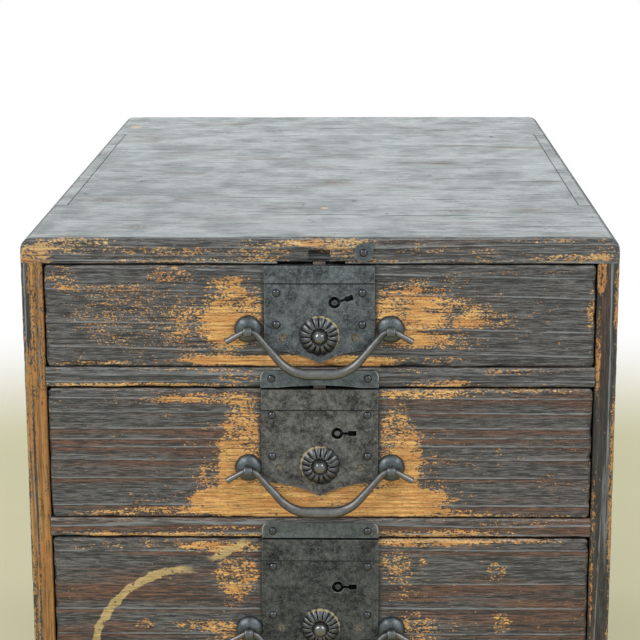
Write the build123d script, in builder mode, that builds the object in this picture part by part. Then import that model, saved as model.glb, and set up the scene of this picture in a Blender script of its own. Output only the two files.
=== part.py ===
from build123d import *

import os
from dataclasses import dataclass
from math import asin, atan2, cos, degrees, hypot, pi, radians, sin

# Small tansu chest: a box-jointed softwood case, deeper than it is wide, with four drawers that grow
# taller downwards. Each drawer has an iron lock plate with its lock behind it, a button in a fluted
# rosette, and a forged bail hung from two cotter posts.
# Millimetres. +Z is up, the front faces -Y, and the origin is the middle of the case's underside.

# ---- Case ----
case_width = 300.0
case_depth = 470.0
side_thickness = 11.0
top_thickness = 13.0
bottom_thickness = 13.0
back_thickness = 8.0
divider_thickness = 10.0
housing_depth = 4.0  # how far each end of a divider is let into its side board
housing_stop = 14.0  # plain wood left in front of that groove
rebate = 5.0  # how far the back board is let into the boards round it
corner_stretches = 5  # lengths of a box-jointed corner; top and side boards take them in turn
long_edge_radius = 7.0  # the two long top edges
worn_edge_radius = 2.4  # the case's other outer edges at the front and back
arris_radius = 1.2  # the inner edges at the front

# ---- Pegs that hold the back board ----
peg_radius = 1.6
peg_length = 18.0
peg_spread = 58.0  # from the case's middle line
peg_clearance = 0.02

# ---- Drawers ----
rest_gap = 0.3  # between a drawer and the board that it runs on
head_gap = 1.0  # between a drawer's front and the board above it
side_gap = 0.6  # between a drawer and each side board
rear_gap = 4.0  # between a drawer and the back board
front_recess = 0.5  # of a drawer's face, behind the case's front edges
front_thickness = 14.0
front_lap = 5.0  # wood of the front that covers the ends of the sides and bottom
front_corner_radius = 2.5
front_edge_radius = 1.8
drawer_side_thickness = 8.0
drawer_side_drop = 4.0  # of the sides and back, below the top of the front
drawer_back_thickness = 8.0
drawer_back_inset = 6.0  # from the rear ends of the sides
drawer_housing = 3.0  # how far the back is let into the sides
drawer_bottom_thickness = 5.0

# ---- Lock ----
plate_thickness = 1.2
plate_corner_radius = 6.0
plate_point = 7.0  # the pointed middle of the plate's lower edge, below its corners
plate_sag = 2.3  # of the curve from a corner to the point, halfway along
cap_thickness = 0.9  # the strip that is folded over the drawer's top edge and down over the plate
tray_wall = 1.2
tray_depth = 9.0
tray_below_key = 11.0
tray_beyond_key = 0.8
throat_half = 7.0  # the tray's narrow lower end, which takes in the button's stem
throat_below_button = 5.0
tray_clearance = 0.2
key_ring_radius = 3.1
key_slot_height = 1.5
key_slot_length = 9.8
key_bit_height = 2.9  # the slot's wider end, which lets the key's bit in
key_bit_length = 4.2
key_post_radius = 1.3
spare_hole_radius = 2.3

# ---- Bolt, and the spring leaf behind it ----
bolt_width = 6.2
bolt_thickness = 3.0
bolt_setback = 1.0  # behind the drawer's face
bolt_clearance = 0.3
bolt_body_width = 18.0
bolt_body_height = 8.0
bolt_body_above_key = 2.4
bolt_talon_radius = 4.4
leaf_thickness = 0.6
leaf_width = 5.0
leaf_foot = 3.0
leaf_below_cap = 2.0
leaf_gap = 0.1
catch_reach = 2.2  # the leaf's lower end, above and below the button's middle

# ---- Nails with domed heads ----
nail_head_radius = 1.8
nail_head_height = 1.4
nail_shank_radius = 0.8
nail_length = 9.0
nail_clearance = 0.05

# ---- Rosette and button ----
rosette_radius = 10.3
rosette_rim = 0.8
rosette_height = 3.2
rosette_shoulder = 5.9  # radius where the petals start to fall
rosette_swell = 0.45
rosette_flutes = 16
flute_radius = 1.5
flute_depth = 0.7
well_radius = 4.5
button_radius = 4.1
button_clear = 2.3  # from the button's skirt to the plate
button_skirt = 2.0
button_height = 7.4  # from the plate to the top of the dome
button_travel = 2.0
stem_radius = 1.8
stem_clearance = 0.25
stem_length = 4.0  # from the plate's face to the stem's end

# ---- Bail and the posts that it hangs from ----
post_reach = 7.0  # from the drawer's face to the bail's pivot
bail_drop = 21.9  # from the pivot to the middle of the grip
bail_crest_radius = 6.6
bail_crest_lift = 0.2  # of the crest above the pivot, so that the bend lies evenly in the eye
bail_corner_radius = 20.0
bail_flat_half = 5.1
bail_ear_length = 9.0
bail_ear_angle = 30.0
bail_neck_radius = 1.3
bail_tip_radius = 1.6
bail_grip_radius = 2.9
eye_radius = 1.9
eye_wall = 0.8
eye_width = 4.3
leg_thickness = 0.95
leg_clearance = 0.1
prong_length = 9.0
boss_radius = 6.5
boss_height = 4.2
boss_wall = 0.9

# ---- Keepers, which the bolts rise behind ----
keeper_width = 60.0
keeper_thickness = 1.0
keeper_corner_radius = 2.8
keeper_nail_spread = 24.4
keeper_ear = 9.0  # from a keeper's end to where its lower edge may arch up
keyway_width = 10.7
keyway_spare = 2.9  # above the raised bolt's tip
torn_left = -21.0  # where the top keeper's seat has broken out of the top board
torn_right = 13.0
torn_height = 1.2
torn_depth = 4.0
remnant_radius = 4.7  # of the top keeper's last scrap, round its nail
remnant_across = 22.2
remnant_above = 5.5  # its nail, above the top board's lower edge


@dataclass(frozen=True)
class Drawer:
    """One drawer's own sizes. Drops are measured down from the top edge of its front."""

    bay_height: float
    bolt_up: float  # what stands above the drawer's top edge when the lock is open
    bolt_throw: float
    plate_width: float
    plate_side: float  # the plate's straight sides
    band_height: float  # the cap strip's front
    key_across: float
    key_drop: float
    key_turn: float  # of the key's slot, in degrees above level
    nail_spread: float
    upper_nail_drop: float
    lower_nail_drop: float
    spare_spread: float
    spare_drop: float
    button_drop: float
    post_spread: float
    post_drop: float


@dataclass(frozen=True)
class Keeper:
    """One keeper's own sizes, on the divider above its drawer."""

    upper_drop: float  # of its upper edge, below the divider's
    nail_rise: float  # of its nails, above the divider's underside
    arch: float  # of its lower edge, between its ears


drawers = (
    Drawer(
        bay_height=54.0, bolt_up=1.4, bolt_throw=3.5, plate_width=55.4, plate_side=37.5, band_height=8.9,
        key_across=7.6, key_drop=19.0, key_turn=17.0, nail_spread=21.6, upper_nail_drop=14.1,
        lower_nail_drop=30.4, spare_spread=18.2, spare_drop=37.1, button_drop=36.0,
        post_spread=35.9, post_drop=32.8,
    ),
    Drawer(
        bay_height=70.0, bolt_up=1.4, bolt_throw=3.5, plate_width=59.2, plate_side=43.5, band_height=10.6,
        key_across=8.9, key_drop=23.2, key_turn=0.0, nail_spread=24.3, upper_nail_drop=13.6,
        lower_nail_drop=35.4, spare_spread=20.6, spare_drop=41.4, button_drop=40.0,
        post_spread=36.4, post_drop=41.6,
    ),
    Drawer(
        bay_height=82.5, bolt_up=0.5, bolt_throw=4.4, plate_width=60.0, plate_side=48.5, band_height=11.2,
        key_across=9.1, key_drop=26.0, key_turn=0.0, nail_spread=24.4, upper_nail_drop=14.9,
        lower_nail_drop=41.5, spare_spread=20.1, spare_drop=48.6, button_drop=48.0,
        post_spread=36.9, post_drop=49.6,
    ),
    Drawer(
        bay_height=97.5, bolt_up=0.5, bolt_throw=4.4, plate_width=60.0, plate_side=62.0, band_height=11.2,
        key_across=9.1, key_drop=29.0, key_turn=0.0, nail_spread=24.4, upper_nail_drop=14.9,
        lower_nail_drop=48.5, spare_spread=20.1, spare_drop=56.8, button_drop=56.6,
        post_spread=36.9, post_drop=58.4,
    ),
)

keepers = (
    Keeper(upper_drop=1.3, nail_rise=4.7, arch=1.3),
    Keeper(upper_drop=2.2, nail_rise=3.6, arch=0.0),
    Keeper(upper_drop=2.2, nail_rise=3.6, arch=0.0),
)

# ---- Worked-out places ----
case_half = case_width / 2
inner_half = case_half - side_thickness
side_middle = case_half - side_thickness / 2
case_height = (
    top_thickness
    + sum(drawer.bay_height for drawer in drawers)
    + divider_thickness * (len(drawers) - 1)
    + bottom_thickness
)
ceiling_z = case_height - top_thickness
front_y = -case_depth / 2
back_y = case_depth / 2
back_board_y = back_y - back_thickness
face_y = front_y + front_recess
plate_y = face_y - plate_thickness
drawer_inner_y = face_y + front_thickness
drawer_rear_y = back_board_y - rear_gap
drawer_back_y = drawer_rear_y - drawer_back_inset - drawer_back_thickness
drawer_half = inner_half - side_gap
drawer_side_half = drawer_half - drawer_side_thickness
bolt_back_y = face_y + bolt_setback + bolt_thickness
keyway_depth = bolt_back_y + bolt_clearance - front_y
stretch = case_depth / corner_stretches
side_turns = [front_y + (k + 0.5) * stretch for k in range(1, corner_stretches, 2)]
top_turns = [front_y + (k + 0.5) * stretch for k in range(0, corner_stretches, 2)]
bay_ceilings = [
    ceiling_z - sum(drawer.bay_height + divider_thickness for drawer in drawers[:k])
    for k in range(len(drawers))
]
divider_floors = [
    bay_ceilings[k] - drawers[k].bay_height - divider_thickness for k in range(len(drawers) - 1)
]
keyway_heights = [drawer.bolt_up + drawer.bolt_throw - head_gap + keyway_spare for drawer in drawers]
drawer_tops = [ceiling - head_gap for ceiling in bay_ceilings]
drawer_floors = [
    ceiling - drawer.bay_height + rest_gap for ceiling, drawer in zip(bay_ceilings, drawers)
]
peg_heights = [
    bottom_thickness - rebate / 2,
    *[floor + divider_thickness / 2 for floor in divider_floors],
    ceiling_z + rebate / 2,
]
peg_places = [(side * peg_spread, z) for z in peg_heights for side in (-1, 1)]


def facing(x, y, z):
    """A plane that faces the viewer at the front, with its own x to the right and y upwards."""
    return Plane(origin=(x, y, z), x_dir=(1, 0, 0), z_dir=(0, -1, 0))


def block(low, high, mode=Mode.ADD):
    """A box between two corners, in the part that is being built."""
    sizes = [b - a for a, b in zip(low, high)]
    with Locations([tuple((a + b) / 2 for a, b in zip(low, high))]):
        Box(*sizes, mode=mode)


def drill(plane, places, radius, depth):
    """Bores holes in the part that is being built, from a plane and against its direction."""
    with BuildSketch(plane) as mouths:
        with Locations(places):
            Circle(radius)
    extrude(mouths.sketch, amount=-depth, mode=Mode.SUBTRACT)


def drill_for_pegs():
    """Bores the holes for the back board's pegs in the part that is being built."""
    drill(facing(0, back_y - peg_length, 0), peg_places, peg_radius + peg_clearance, peg_length)


def write(part, name):
    """Labels a finished piece and writes its file."""
    part.label = name
    export_step(part, f"parts/{name}.step")


os.makedirs("parts", exist_ok=True)

# ---- Case boards ----
finger_places = [(side * side_middle, y) for y in side_turns for side in (-1, 1)]

with BuildPart() as top_board:
    with BuildSketch(Plane.XY.offset(ceiling_z)):
        Rectangle(case_width, case_depth)
        with Locations(finger_places):
            Rectangle(side_thickness, stretch, mode=Mode.SUBTRACT)
    extrude(amount=top_thickness)
    upper_edges = top_board.edges().filter_by(Axis.Y).group_by(Axis.Z)[-1].group_by(Axis.X)
    fillet(upper_edges[0] + upper_edges[-1], long_edge_radius)
    for end in (0, -1):
        rim = top_board.faces().filter_by(Axis.Y).sort_by(Axis.Y)[end].edges().sort_by(Axis.Z)
        fillet(rim[1:], worn_edge_radius)
    block(
        (-inner_half - rebate, back_board_y, ceiling_z),
        (inner_half + rebate, back_y, ceiling_z + rebate),
        Mode.SUBTRACT,
    )
    # The keyway for the top drawer's bolt, and the torn seat of the keeper that covered it.
    block(
        (-keyway_width / 2, front_y, ceiling_z),
        (keyway_width / 2, front_y + keyway_depth, ceiling_z + keyway_heights[0]),
        Mode.SUBTRACT,
    )
    block(
        (torn_left, front_y, ceiling_z),
        (torn_right, front_y + torn_depth, ceiling_z + torn_height),
        Mode.SUBTRACT,
    )
    remnant_place = [(remnant_across, ceiling_z + remnant_above)]
    drill(facing(0, front_y, 0), remnant_place, nail_shank_radius + nail_clearance, nail_length)
    drill_for_pegs()
write(top_board.part, "top_board")

with BuildPart() as bottom_board:
    with BuildSketch(Plane.XY):
        Rectangle(case_width, case_depth)
        with Locations(finger_places):
            Rectangle(side_thickness, stretch, mode=Mode.SUBTRACT)
    extrude(amount=bottom_thickness)
    block(
        (-inner_half - rebate, back_board_y, bottom_thickness - rebate),
        (inner_half + rebate, back_y, bottom_thickness),
        Mode.SUBTRACT,
    )
    drill_for_pegs()
write(bottom_board.part, "bottom_board")

with BuildPart() as right_side_board:
    with BuildSketch(Plane.YZ.offset(inner_half)):
        with Locations([(0, case_height / 2)]):
            Rectangle(case_depth, case_height)
        with Locations([(y, case_height) for y in top_turns]):
            Rectangle(stretch, 2 * top_thickness, mode=Mode.SUBTRACT)
        with Locations([(y, 0) for y in top_turns]):
            Rectangle(stretch, 2 * bottom_thickness, mode=Mode.SUBTRACT)
    extrude(amount=side_thickness)
    finger_edges = right_side_board.edges().filter_by(Axis.Y).group_by(Axis.Z)[-1].group_by(Axis.X)[-1]
    fillet(finger_edges, long_edge_radius)
    upright_edges = right_side_board.edges().filter_by(Axis.Z).group_by(Axis.Y)[0].sort_by(Axis.X)
    fillet(upright_edges[-1], worn_edge_radius)
    upright_edges = right_side_board.edges().filter_by(Axis.Z).group_by(Axis.Y)[0].sort_by(Axis.X)
    fillet(upright_edges[0], arris_radius)
    for floor in divider_floors:
        block(
            (inner_half, front_y + housing_stop, floor),
            (inner_half + housing_depth, back_board_y, floor + divider_thickness),
            Mode.SUBTRACT,
        )
    block(
        (inner_half, back_board_y, bottom_thickness - rebate),
        (inner_half + rebate, back_y, ceiling_z + rebate),
        Mode.SUBTRACT,
    )
write(right_side_board.part, "right_side_board")

with BuildPart() as left_side_board:
    mirror(right_side_board.part, about=Plane.YZ)
write(left_side_board.part, "left_side_board")

with BuildPart() as back_board:
    block(
        (-inner_half - rebate, back_board_y, bottom_thickness - rebate),
        (inner_half + rebate, back_y, ceiling_z + rebate),
    )
    drill_for_pegs()
write(back_board.part, "back_board")

with BuildPart() as case_pegs:
    with BuildSketch(facing(0, back_y, 0)):
        with Locations(peg_places):
            Circle(peg_radius)
    extrude(amount=peg_length)
write(case_pegs.part, "case_pegs")

for number, (floor, keeper) in enumerate(zip(divider_floors, keepers), start=1):
    with BuildPart() as divider:
        block((-inner_half, front_y, floor), (inner_half, back_board_y, floor + divider_thickness))
        fillet(divider.edges().filter_by(Axis.X).group_by(Axis.Y)[0], arris_radius)
        block(
            (-inner_half - housing_depth, front_y + housing_stop, floor),
            (inner_half + housing_depth, back_board_y, floor + divider_thickness),
        )
        block(
            (-keyway_width / 2, front_y, floor),
            (keyway_width / 2, front_y + keyway_depth, floor + keyway_heights[number]),
            Mode.SUBTRACT,
        )
        nail_spots = [(side * keeper_nail_spread, floor + keeper.nail_rise) for side in (-1, 1)]
        drill(facing(0, front_y, 0), nail_spots, nail_shank_radius + nail_clearance, nail_length)
        drill_for_pegs()
    write(divider.part, f"divider_{number}")

# ---- Small pieces that repeat, made at the origin and facing the viewer ----
# Each is drawn as half a section, with x as its radius and y as its height towards the viewer.
section_plane = Plane(origin=(0, 0, 0), x_dir=(1, 0, 0), z_dir=(0, 0, -1))
outward = Axis((0, 0, 0), (0, -1, 0))


def dome_points(radius, rise, base=0.0):
    """The rim, middle and top of a round dome's section, above a base."""
    sphere = (radius**2 + rise**2) / (2 * rise)
    half_angle = atan2(radius, sphere - rise) / 2
    middle = (sphere * sin(half_angle), base + rise - sphere + sphere * cos(half_angle))
    return (radius, base), middle, (0, base + rise)



with BuildPart() as nail:
    with BuildSketch(section_plane):
        with BuildLine():
            head = ThreePointArc(*dome_points(nail_head_radius, nail_head_height))
            Polyline(
                head @ 1,
                (0, keeper_thickness - nail_length),
                (nail_shank_radius, keeper_thickness - nail_length),
                (nail_shank_radius, 0),
                head @ 0,
            )
        make_face()
    revolve(axis=outward)

with BuildPart() as boss:
    with BuildSketch(section_plane):
        with BuildLine():
            outer = ThreePointArc(*dome_points(boss_radius, boss_height))
            inner = ThreePointArc(*dome_points(boss_radius - boss_wall, boss_height - boss_wall))
            Line(outer @ 1, inner @ 1)
            Line(inner @ 0, outer @ 0)
        make_face()
    revolve(axis=outward)
    Box(
        eye_width + 2 * leg_clearance,
        4 * boss_height,
        2 * (leg_thickness + leg_clearance),
        mode=Mode.SUBTRACT,
    )

# A strip bent round the bail, with its two legs turned back on the inside of the drawer's front.
with BuildPart() as cotter:
    with BuildSketch(Plane.YZ):
        with Locations([(-post_reach, 0)]):
            Circle(eye_radius + eye_wall)
    extrude(amount=eye_width / 2, both=True)
    block(
        (-eye_width / 2, -post_reach, -leg_thickness),
        (eye_width / 2, front_thickness, leg_thickness),
    )
    block(
        (-eye_width / 2, front_thickness, -prong_length),
        (eye_width / 2, front_thickness + leg_thickness, prong_length),
    )
    with BuildSketch(Plane.YZ):
        with Locations([(-post_reach, 0)]):
            Circle(eye_radius)
    extrude(amount=eye_width, both=True, mode=Mode.SUBTRACT)

with BuildPart() as rosette:
    with BuildSketch(section_plane):
        with BuildLine():
            petal = ThreePointArc(
                (rosette_shoulder, rosette_height),
                (
                    (rosette_shoulder + rosette_radius) / 2,
                    (rosette_height + rosette_rim) / 2 + rosette_swell,
                ),
                (rosette_radius, rosette_rim),
            )
            Polyline(
                petal @ 1,
                (rosette_radius, 0),
                (well_radius, 0),
                (well_radius, rosette_height),
                petal @ 0,
            )
        make_face()
    revolve(axis=outward)

with BuildPart(facing(0, 0, 0)) as flutes:
    petal_fall = rosette_height - rosette_rim
    petal_run = rosette_radius - rosette_shoulder
    petal_middle = (rosette_height + rosette_rim) / 2 + rosette_swell
    with PolarLocations(rosette_radius - petal_run / 2, rosette_flutes):
        with Locations([(0, 0, petal_middle + flute_radius - flute_depth)]):
            Cylinder(
                flute_radius,
                hypot(petal_fall, petal_run),
                rotation=(0, 90 + degrees(atan2(petal_fall, petal_run)), 0),
            )

with BuildPart() as fluted_rosette:
    add(rosette.part)
    add(flutes.part, mode=Mode.SUBTRACT)

with BuildPart() as button:
    with BuildSketch(section_plane):
        with BuildLine():
            skirt_top = button_clear + button_skirt
            dome = ThreePointArc(*dome_points(button_radius, button_height - skirt_top, skirt_top))
            Polyline(
                dome @ 1,
                (0, -stem_length),
                (stem_radius, -stem_length),
                (stem_radius, button_clear),
                (button_radius, button_clear),
                dome @ 0,
            )
        make_face()
    revolve(axis=outward)


def nail_places(drawer):
    """Where a lock plate's nails go, in x and in height from the drawer's top edge."""
    drops = (drawer.upper_nail_drop, drawer.lower_nail_drop)
    return [(side * drawer.nail_spread, -drop) for drop in drops for side in (-1, 1)]


def post_places(drawer):
    """Where a bail's two posts go."""
    return [(side * drawer.post_spread, -drawer.post_drop) for side in (-1, 1)]


def tray_sizes(drawer):
    """Half the width of a lock's tray, and how far its wide and narrow parts reach down."""
    half = drawer.key_across + key_slot_length + tray_beyond_key + tray_wall
    return half, -drawer.key_drop - tray_below_key, -drawer.button_drop - throat_below_button


def bail_stations(spread):
    """Sections along a bail from one ear's tip to the other.

    Each is a place in x and z from the pivots' middle, the line's angle above level and a radius. The
    line is an ear, a crest over the post, a straight leg, a corner and the flat middle of the grip.
    """
    rise = bail_corner_radius - bail_drop + bail_crest_radius - bail_crest_lift
    run = spread - bail_flat_half
    reach = bail_crest_radius + bail_corner_radius
    leg = asin(reach / hypot(run, rise)) - atan2(rise, run)
    ear = radians(bail_ear_angle)
    swell = bail_grip_radius - bail_neck_radius
    crest_z = bail_crest_lift - bail_crest_radius
    corner_z = bail_corner_radius - bail_drop

    def on_crest(angle):
        """The place where the crest falls at an angle towards the grip."""
        return -spread + bail_crest_radius * sin(angle), crest_z + bail_crest_radius * cos(angle)

    def on_corner(angle):
        """The place where the corner still falls at an angle."""
        return (
            -bail_flat_half - bail_corner_radius * sin(angle),
            corner_z - bail_corner_radius * cos(angle),
        )

    root, crest_end, corner_start = on_crest(-ear), on_crest(leg), on_corner(leg)
    tip = (root[0] - bail_ear_length * cos(ear), root[1] - bail_ear_length * sin(ear))
    leg_middle = tuple((a + b) / 2 for a, b in zip(crest_end, corner_start))
    half = [
        (tip, ear, bail_tip_radius),
        (root, ear, (bail_tip_radius + bail_neck_radius) / 2),
        (on_crest(0), 0, bail_neck_radius),
        (crest_end, -leg, bail_neck_radius + 0.15 * swell),
        (leg_middle, -leg, bail_neck_radius + 0.32 * swell),
        (corner_start, -leg, bail_neck_radius + 0.5 * swell),
        (on_corner(leg / 2), -leg / 2, bail_neck_radius + 0.78 * swell),
        (on_corner(0), 0, bail_neck_radius + 0.97 * swell),
    ]
    other = [((-x, z), -angle, radius) for (x, z), angle, radius in reversed(half)]
    return [*half, ((0, -bail_drop), 0, bail_grip_radius), *other]


def placed(part, places, y, top_z):
    """Copies of a small piece, each at its place in x and in height from a drawer's top edge."""
    with BuildPart() as group:
        with Locations([(x, y, top_z + z) for x, z in places]):
            add(part)
    return group.part


# ---- Drawers ----
for number, (drawer, top_z, floor_z) in enumerate(zip(drawers, drawer_tops, drawer_floors), start=1):
    name = f"drawer_{number}"
    bed_z = floor_z + drawer_bottom_thickness
    head_z = top_z - drawer_side_drop
    plate_half = drawer.plate_width / 2
    tray_half, tray_low, throat_low = tray_sizes(drawer)
    tray_back_y = face_y + tray_depth

    with BuildPart() as front:
        with BuildSketch(facing(0, face_y, (top_z + floor_z) / 2)):
            RectangleRounded(2 * drawer_half, top_z - floor_z, front_corner_radius)
        extrude(amount=-front_thickness)
        fillet(front.faces().sort_by(Axis.Y)[0].edges(), front_edge_radius)
        # Rebates for the sides and the bottom.
        for side in (-1, 1):
            across = sorted((side * drawer_half, side * drawer_side_half))
            block(
                (across[0], face_y + front_lap, floor_z),
                (across[1], drawer_inner_y, head_z),
                Mode.SUBTRACT,
            )
        block(
            (-drawer_half, face_y + front_lap, floor_z),
            (drawer_half, drawer_inner_y, bed_z),
            Mode.SUBTRACT,
        )
        # The lock's mortise, and the seat of its cap strip in the top edge.
        mortise_y = tray_back_y + tray_clearance
        block(
            (-tray_half - tray_clearance, face_y, top_z + tray_low - tray_clearance),
            (tray_half + tray_clearance, mortise_y, top_z),
            Mode.SUBTRACT,
        )
        block(
            (-throat_half - tray_clearance, face_y, top_z + throat_low - tray_clearance),
            (throat_half + tray_clearance, mortise_y, top_z),
            Mode.SUBTRACT,
        )
        block(
            (-plate_half - tray_clearance, face_y, top_z - cap_thickness),
            (plate_half + tray_clearance, mortise_y, top_z),
            Mode.SUBTRACT,
        )
        drill(facing(0, face_y, top_z), nail_places(drawer), nail_shank_radius + nail_clearance, nail_length)
        for x, z in post_places(drawer):
            half_slot = (eye_width / 2 + leg_clearance, leg_thickness + leg_clearance)
            block(
                (x - half_slot[0], face_y, top_z + z - half_slot[1]),
                (x + half_slot[0], drawer_inner_y, top_z + z + half_slot[1]),
                Mode.SUBTRACT,
            )
    write(front.part, f"{name}_front")

    with BuildPart() as sides:
        for side in (-1, 1):
            across = sorted((side * drawer_half, side * drawer_side_half))
            block((across[0], face_y + front_lap, bed_z), (across[1], drawer_rear_y, head_z))
        block(
            (-drawer_side_half - drawer_housing, drawer_back_y, bed_z),
            (drawer_side_half + drawer_housing, drawer_back_y + drawer_back_thickness, head_z),
            Mode.SUBTRACT,
        )
    write(sides.part, f"{name}_sides")

    with BuildPart() as back:
        block(
            (-drawer_side_half - drawer_housing, drawer_back_y, bed_z),
            (drawer_side_half + drawer_housing, drawer_back_y + drawer_back_thickness, head_z),
        )
    write(back.part, f"{name}_back")

    with BuildPart() as bottom:
        block((-drawer_half, face_y + front_lap, floor_z), (drawer_half, drawer_rear_y, bed_z))
    write(bottom.part, f"{name}_bottom")

    with BuildPart() as lock_plate:
        shoulder = plate_half - plate_corner_radius
        corner_z = -drawer.plate_side - plate_corner_radius
        with BuildSketch(facing(0, face_y, top_z)):
            with BuildLine():
                for side in (-1, 1):
                    half = side * plate_half
                    Line((half, -cap_thickness), (half, -drawer.plate_side))
                    ThreePointArc(
                        (half, -drawer.plate_side),
                        (
                            side * (shoulder + plate_corner_radius * cos(pi / 4)),
                            -drawer.plate_side - plate_corner_radius * sin(pi / 4),
                        ),
                        (side * shoulder, corner_z),
                    )
                    ThreePointArc(
                        (side * shoulder, corner_z),
                        (side * shoulder / 2, corner_z - plate_sag),
                        (0, corner_z - plate_point),
                    )
                Line((-plate_half, -cap_thickness), (plate_half, -cap_thickness))
            make_face()
            with Locations([(drawer.key_across, -drawer.key_drop)]):
                Circle(key_ring_radius, mode=Mode.SUBTRACT)
            turn = radians(drawer.key_turn)
            slot_middle = (
                drawer.key_across + key_slot_length / 2 * cos(turn),
                -drawer.key_drop + key_slot_length / 2 * sin(turn),
            )
            with Locations([slot_middle]):
                Rectangle(key_slot_length, key_slot_height, rotation=drawer.key_turn, mode=Mode.SUBTRACT)
            bit_reach = key_slot_length - key_bit_length / 2
            bit_middle = (
                drawer.key_across + bit_reach * cos(turn),
                -drawer.key_drop + bit_reach * sin(turn),
            )
            with Locations([bit_middle]):
                Rectangle(key_bit_length, key_bit_height, rotation=drawer.key_turn, mode=Mode.SUBTRACT)
            with Locations([(side * drawer.spare_spread, -drawer.spare_drop) for side in (-1, 1)]):
                Circle(spare_hole_radius, mode=Mode.SUBTRACT)
            with Locations(nail_places(drawer)):
                Circle(nail_shank_radius + nail_clearance, mode=Mode.SUBTRACT)
            with Locations([(0, -drawer.button_drop)]):
                Circle(stem_radius + stem_clearance, mode=Mode.SUBTRACT)
        extrude(amount=plate_thickness)
    write(lock_plate.part, f"{name}_lock_plate")

    with BuildPart() as lock_case:
        # The strip over the drawer's top edge, and its front, which lies on the plate.
        strip_y = plate_y - cap_thickness
        block((-plate_half, strip_y, top_z - cap_thickness), (plate_half, tray_back_y, top_z))
        block((-plate_half, strip_y, top_z - drawer.band_height), (plate_half, plate_y, top_z))
        # The tray, open towards the plate.
        wall_y = tray_back_y - tray_wall
        inner_half_tray = tray_half - tray_wall
        inner_half_throat = throat_half - tray_wall
        block((-tray_half, face_y, top_z + tray_low), (tray_half, tray_back_y, top_z))
        block((-throat_half, face_y, top_z + throat_low), (throat_half, tray_back_y, top_z + tray_low))
        block(
            (-inner_half_tray, face_y, top_z + tray_low + tray_wall),
            (inner_half_tray, wall_y, top_z - cap_thickness),
            Mode.SUBTRACT,
        )
        block(
            (-inner_half_throat, face_y, top_z + throat_low + tray_wall),
            (inner_half_throat, wall_y, top_z - cap_thickness),
            Mode.SUBTRACT,
        )
        # The post that the key fits over.
        with BuildSketch(facing(drawer.key_across, tray_back_y, top_z - drawer.key_drop)):
            Circle(key_post_radius)
        extrude(amount=tray_depth + plate_thickness)
        # The leaf: it presses on the bolt's back, and its lower end stands behind the button's stem.
        bolt_rub_y = bolt_back_y + leaf_gap
        bolt_rub_z = top_z - drawer.key_drop + bolt_body_above_key
        catch_y = plate_y + stem_length + button_travel + leaf_gap
        catch_z = top_z - drawer.button_drop
        leaf_top_z = top_z - cap_thickness - leaf_below_cap
        with BuildSketch(Plane.YZ.offset(-leaf_width / 2)):
            with BuildLine():
                Polyline(
                    (wall_y, leaf_top_z),
                    (wall_y - leaf_thickness, leaf_top_z),
                    (wall_y - leaf_thickness, leaf_top_z - leaf_foot),
                    (bolt_rub_y, bolt_rub_z),
                    (catch_y, catch_z + catch_reach),
                    (catch_y, catch_z - catch_reach),
                    (catch_y + leaf_thickness, catch_z - catch_reach),
                    (catch_y + leaf_thickness, catch_z + catch_reach),
                    (bolt_rub_y + leaf_thickness, bolt_rub_z),
                    (wall_y, leaf_top_z - leaf_foot),
                    close=True,
                )
            make_face()
        extrude(amount=leaf_width)
        # The bolt's slot in the strip.
        slot_half = bolt_width / 2 + bolt_clearance
        block(
            (-slot_half, face_y + bolt_setback - bolt_clearance, top_z - cap_thickness),
            (slot_half, bolt_back_y + bolt_clearance, top_z),
            Mode.SUBTRACT,
        )
    write(lock_case.part, f"{name}_lock_case")

    with BuildPart() as lock_bolt:
        body_low = -drawer.key_drop + bolt_body_above_key
        tongue = drawer.bolt_up - body_low
        with BuildSketch(facing(0, bolt_back_y, top_z)):
            with Locations([(drawer.key_across - bolt_body_width / 4, body_low + bolt_body_height / 2)]):
                Rectangle(bolt_body_width, bolt_body_height)
            with Locations([(drawer.key_across, -drawer.key_drop)]):
                Circle(bolt_talon_radius, mode=Mode.SUBTRACT)
            with Locations([(0, body_low + tongue / 2)]):
                Rectangle(bolt_width, tongue)
        extrude(amount=bolt_thickness)
    write(lock_bolt.part, f"{name}_lock_bolt")

    button_place = [(0, -drawer.button_drop)]
    write(placed(nail.part, nail_places(drawer), plate_y, top_z), f"{name}_plate_nails")
    write(placed(fluted_rosette.part, button_place, plate_y, top_z), f"{name}_rosette")
    write(placed(button.part, button_place, plate_y, top_z), f"{name}_button")

    with BuildPart() as handle:
        pivot_y = face_y - post_reach
        pivot_z = top_z - drawer.post_drop
        for (x, z), angle, radius in bail_stations(drawer.post_spread):
            section = Plane((x, pivot_y, pivot_z + z), x_dir=(0, 1, 0), z_dir=(cos(angle), 0, sin(angle)))
            with BuildSketch(section):
                Circle(radius)
        loft()
    write(handle.part, f"{name}_handle")

    with BuildPart() as handle_mounts:
        with Locations([(x, face_y, top_z + z) for x, z in post_places(drawer)]):
            add(cotter.part)
            add(boss.part)
    write(handle_mounts.part, f"{name}_handle_mounts")

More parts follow.
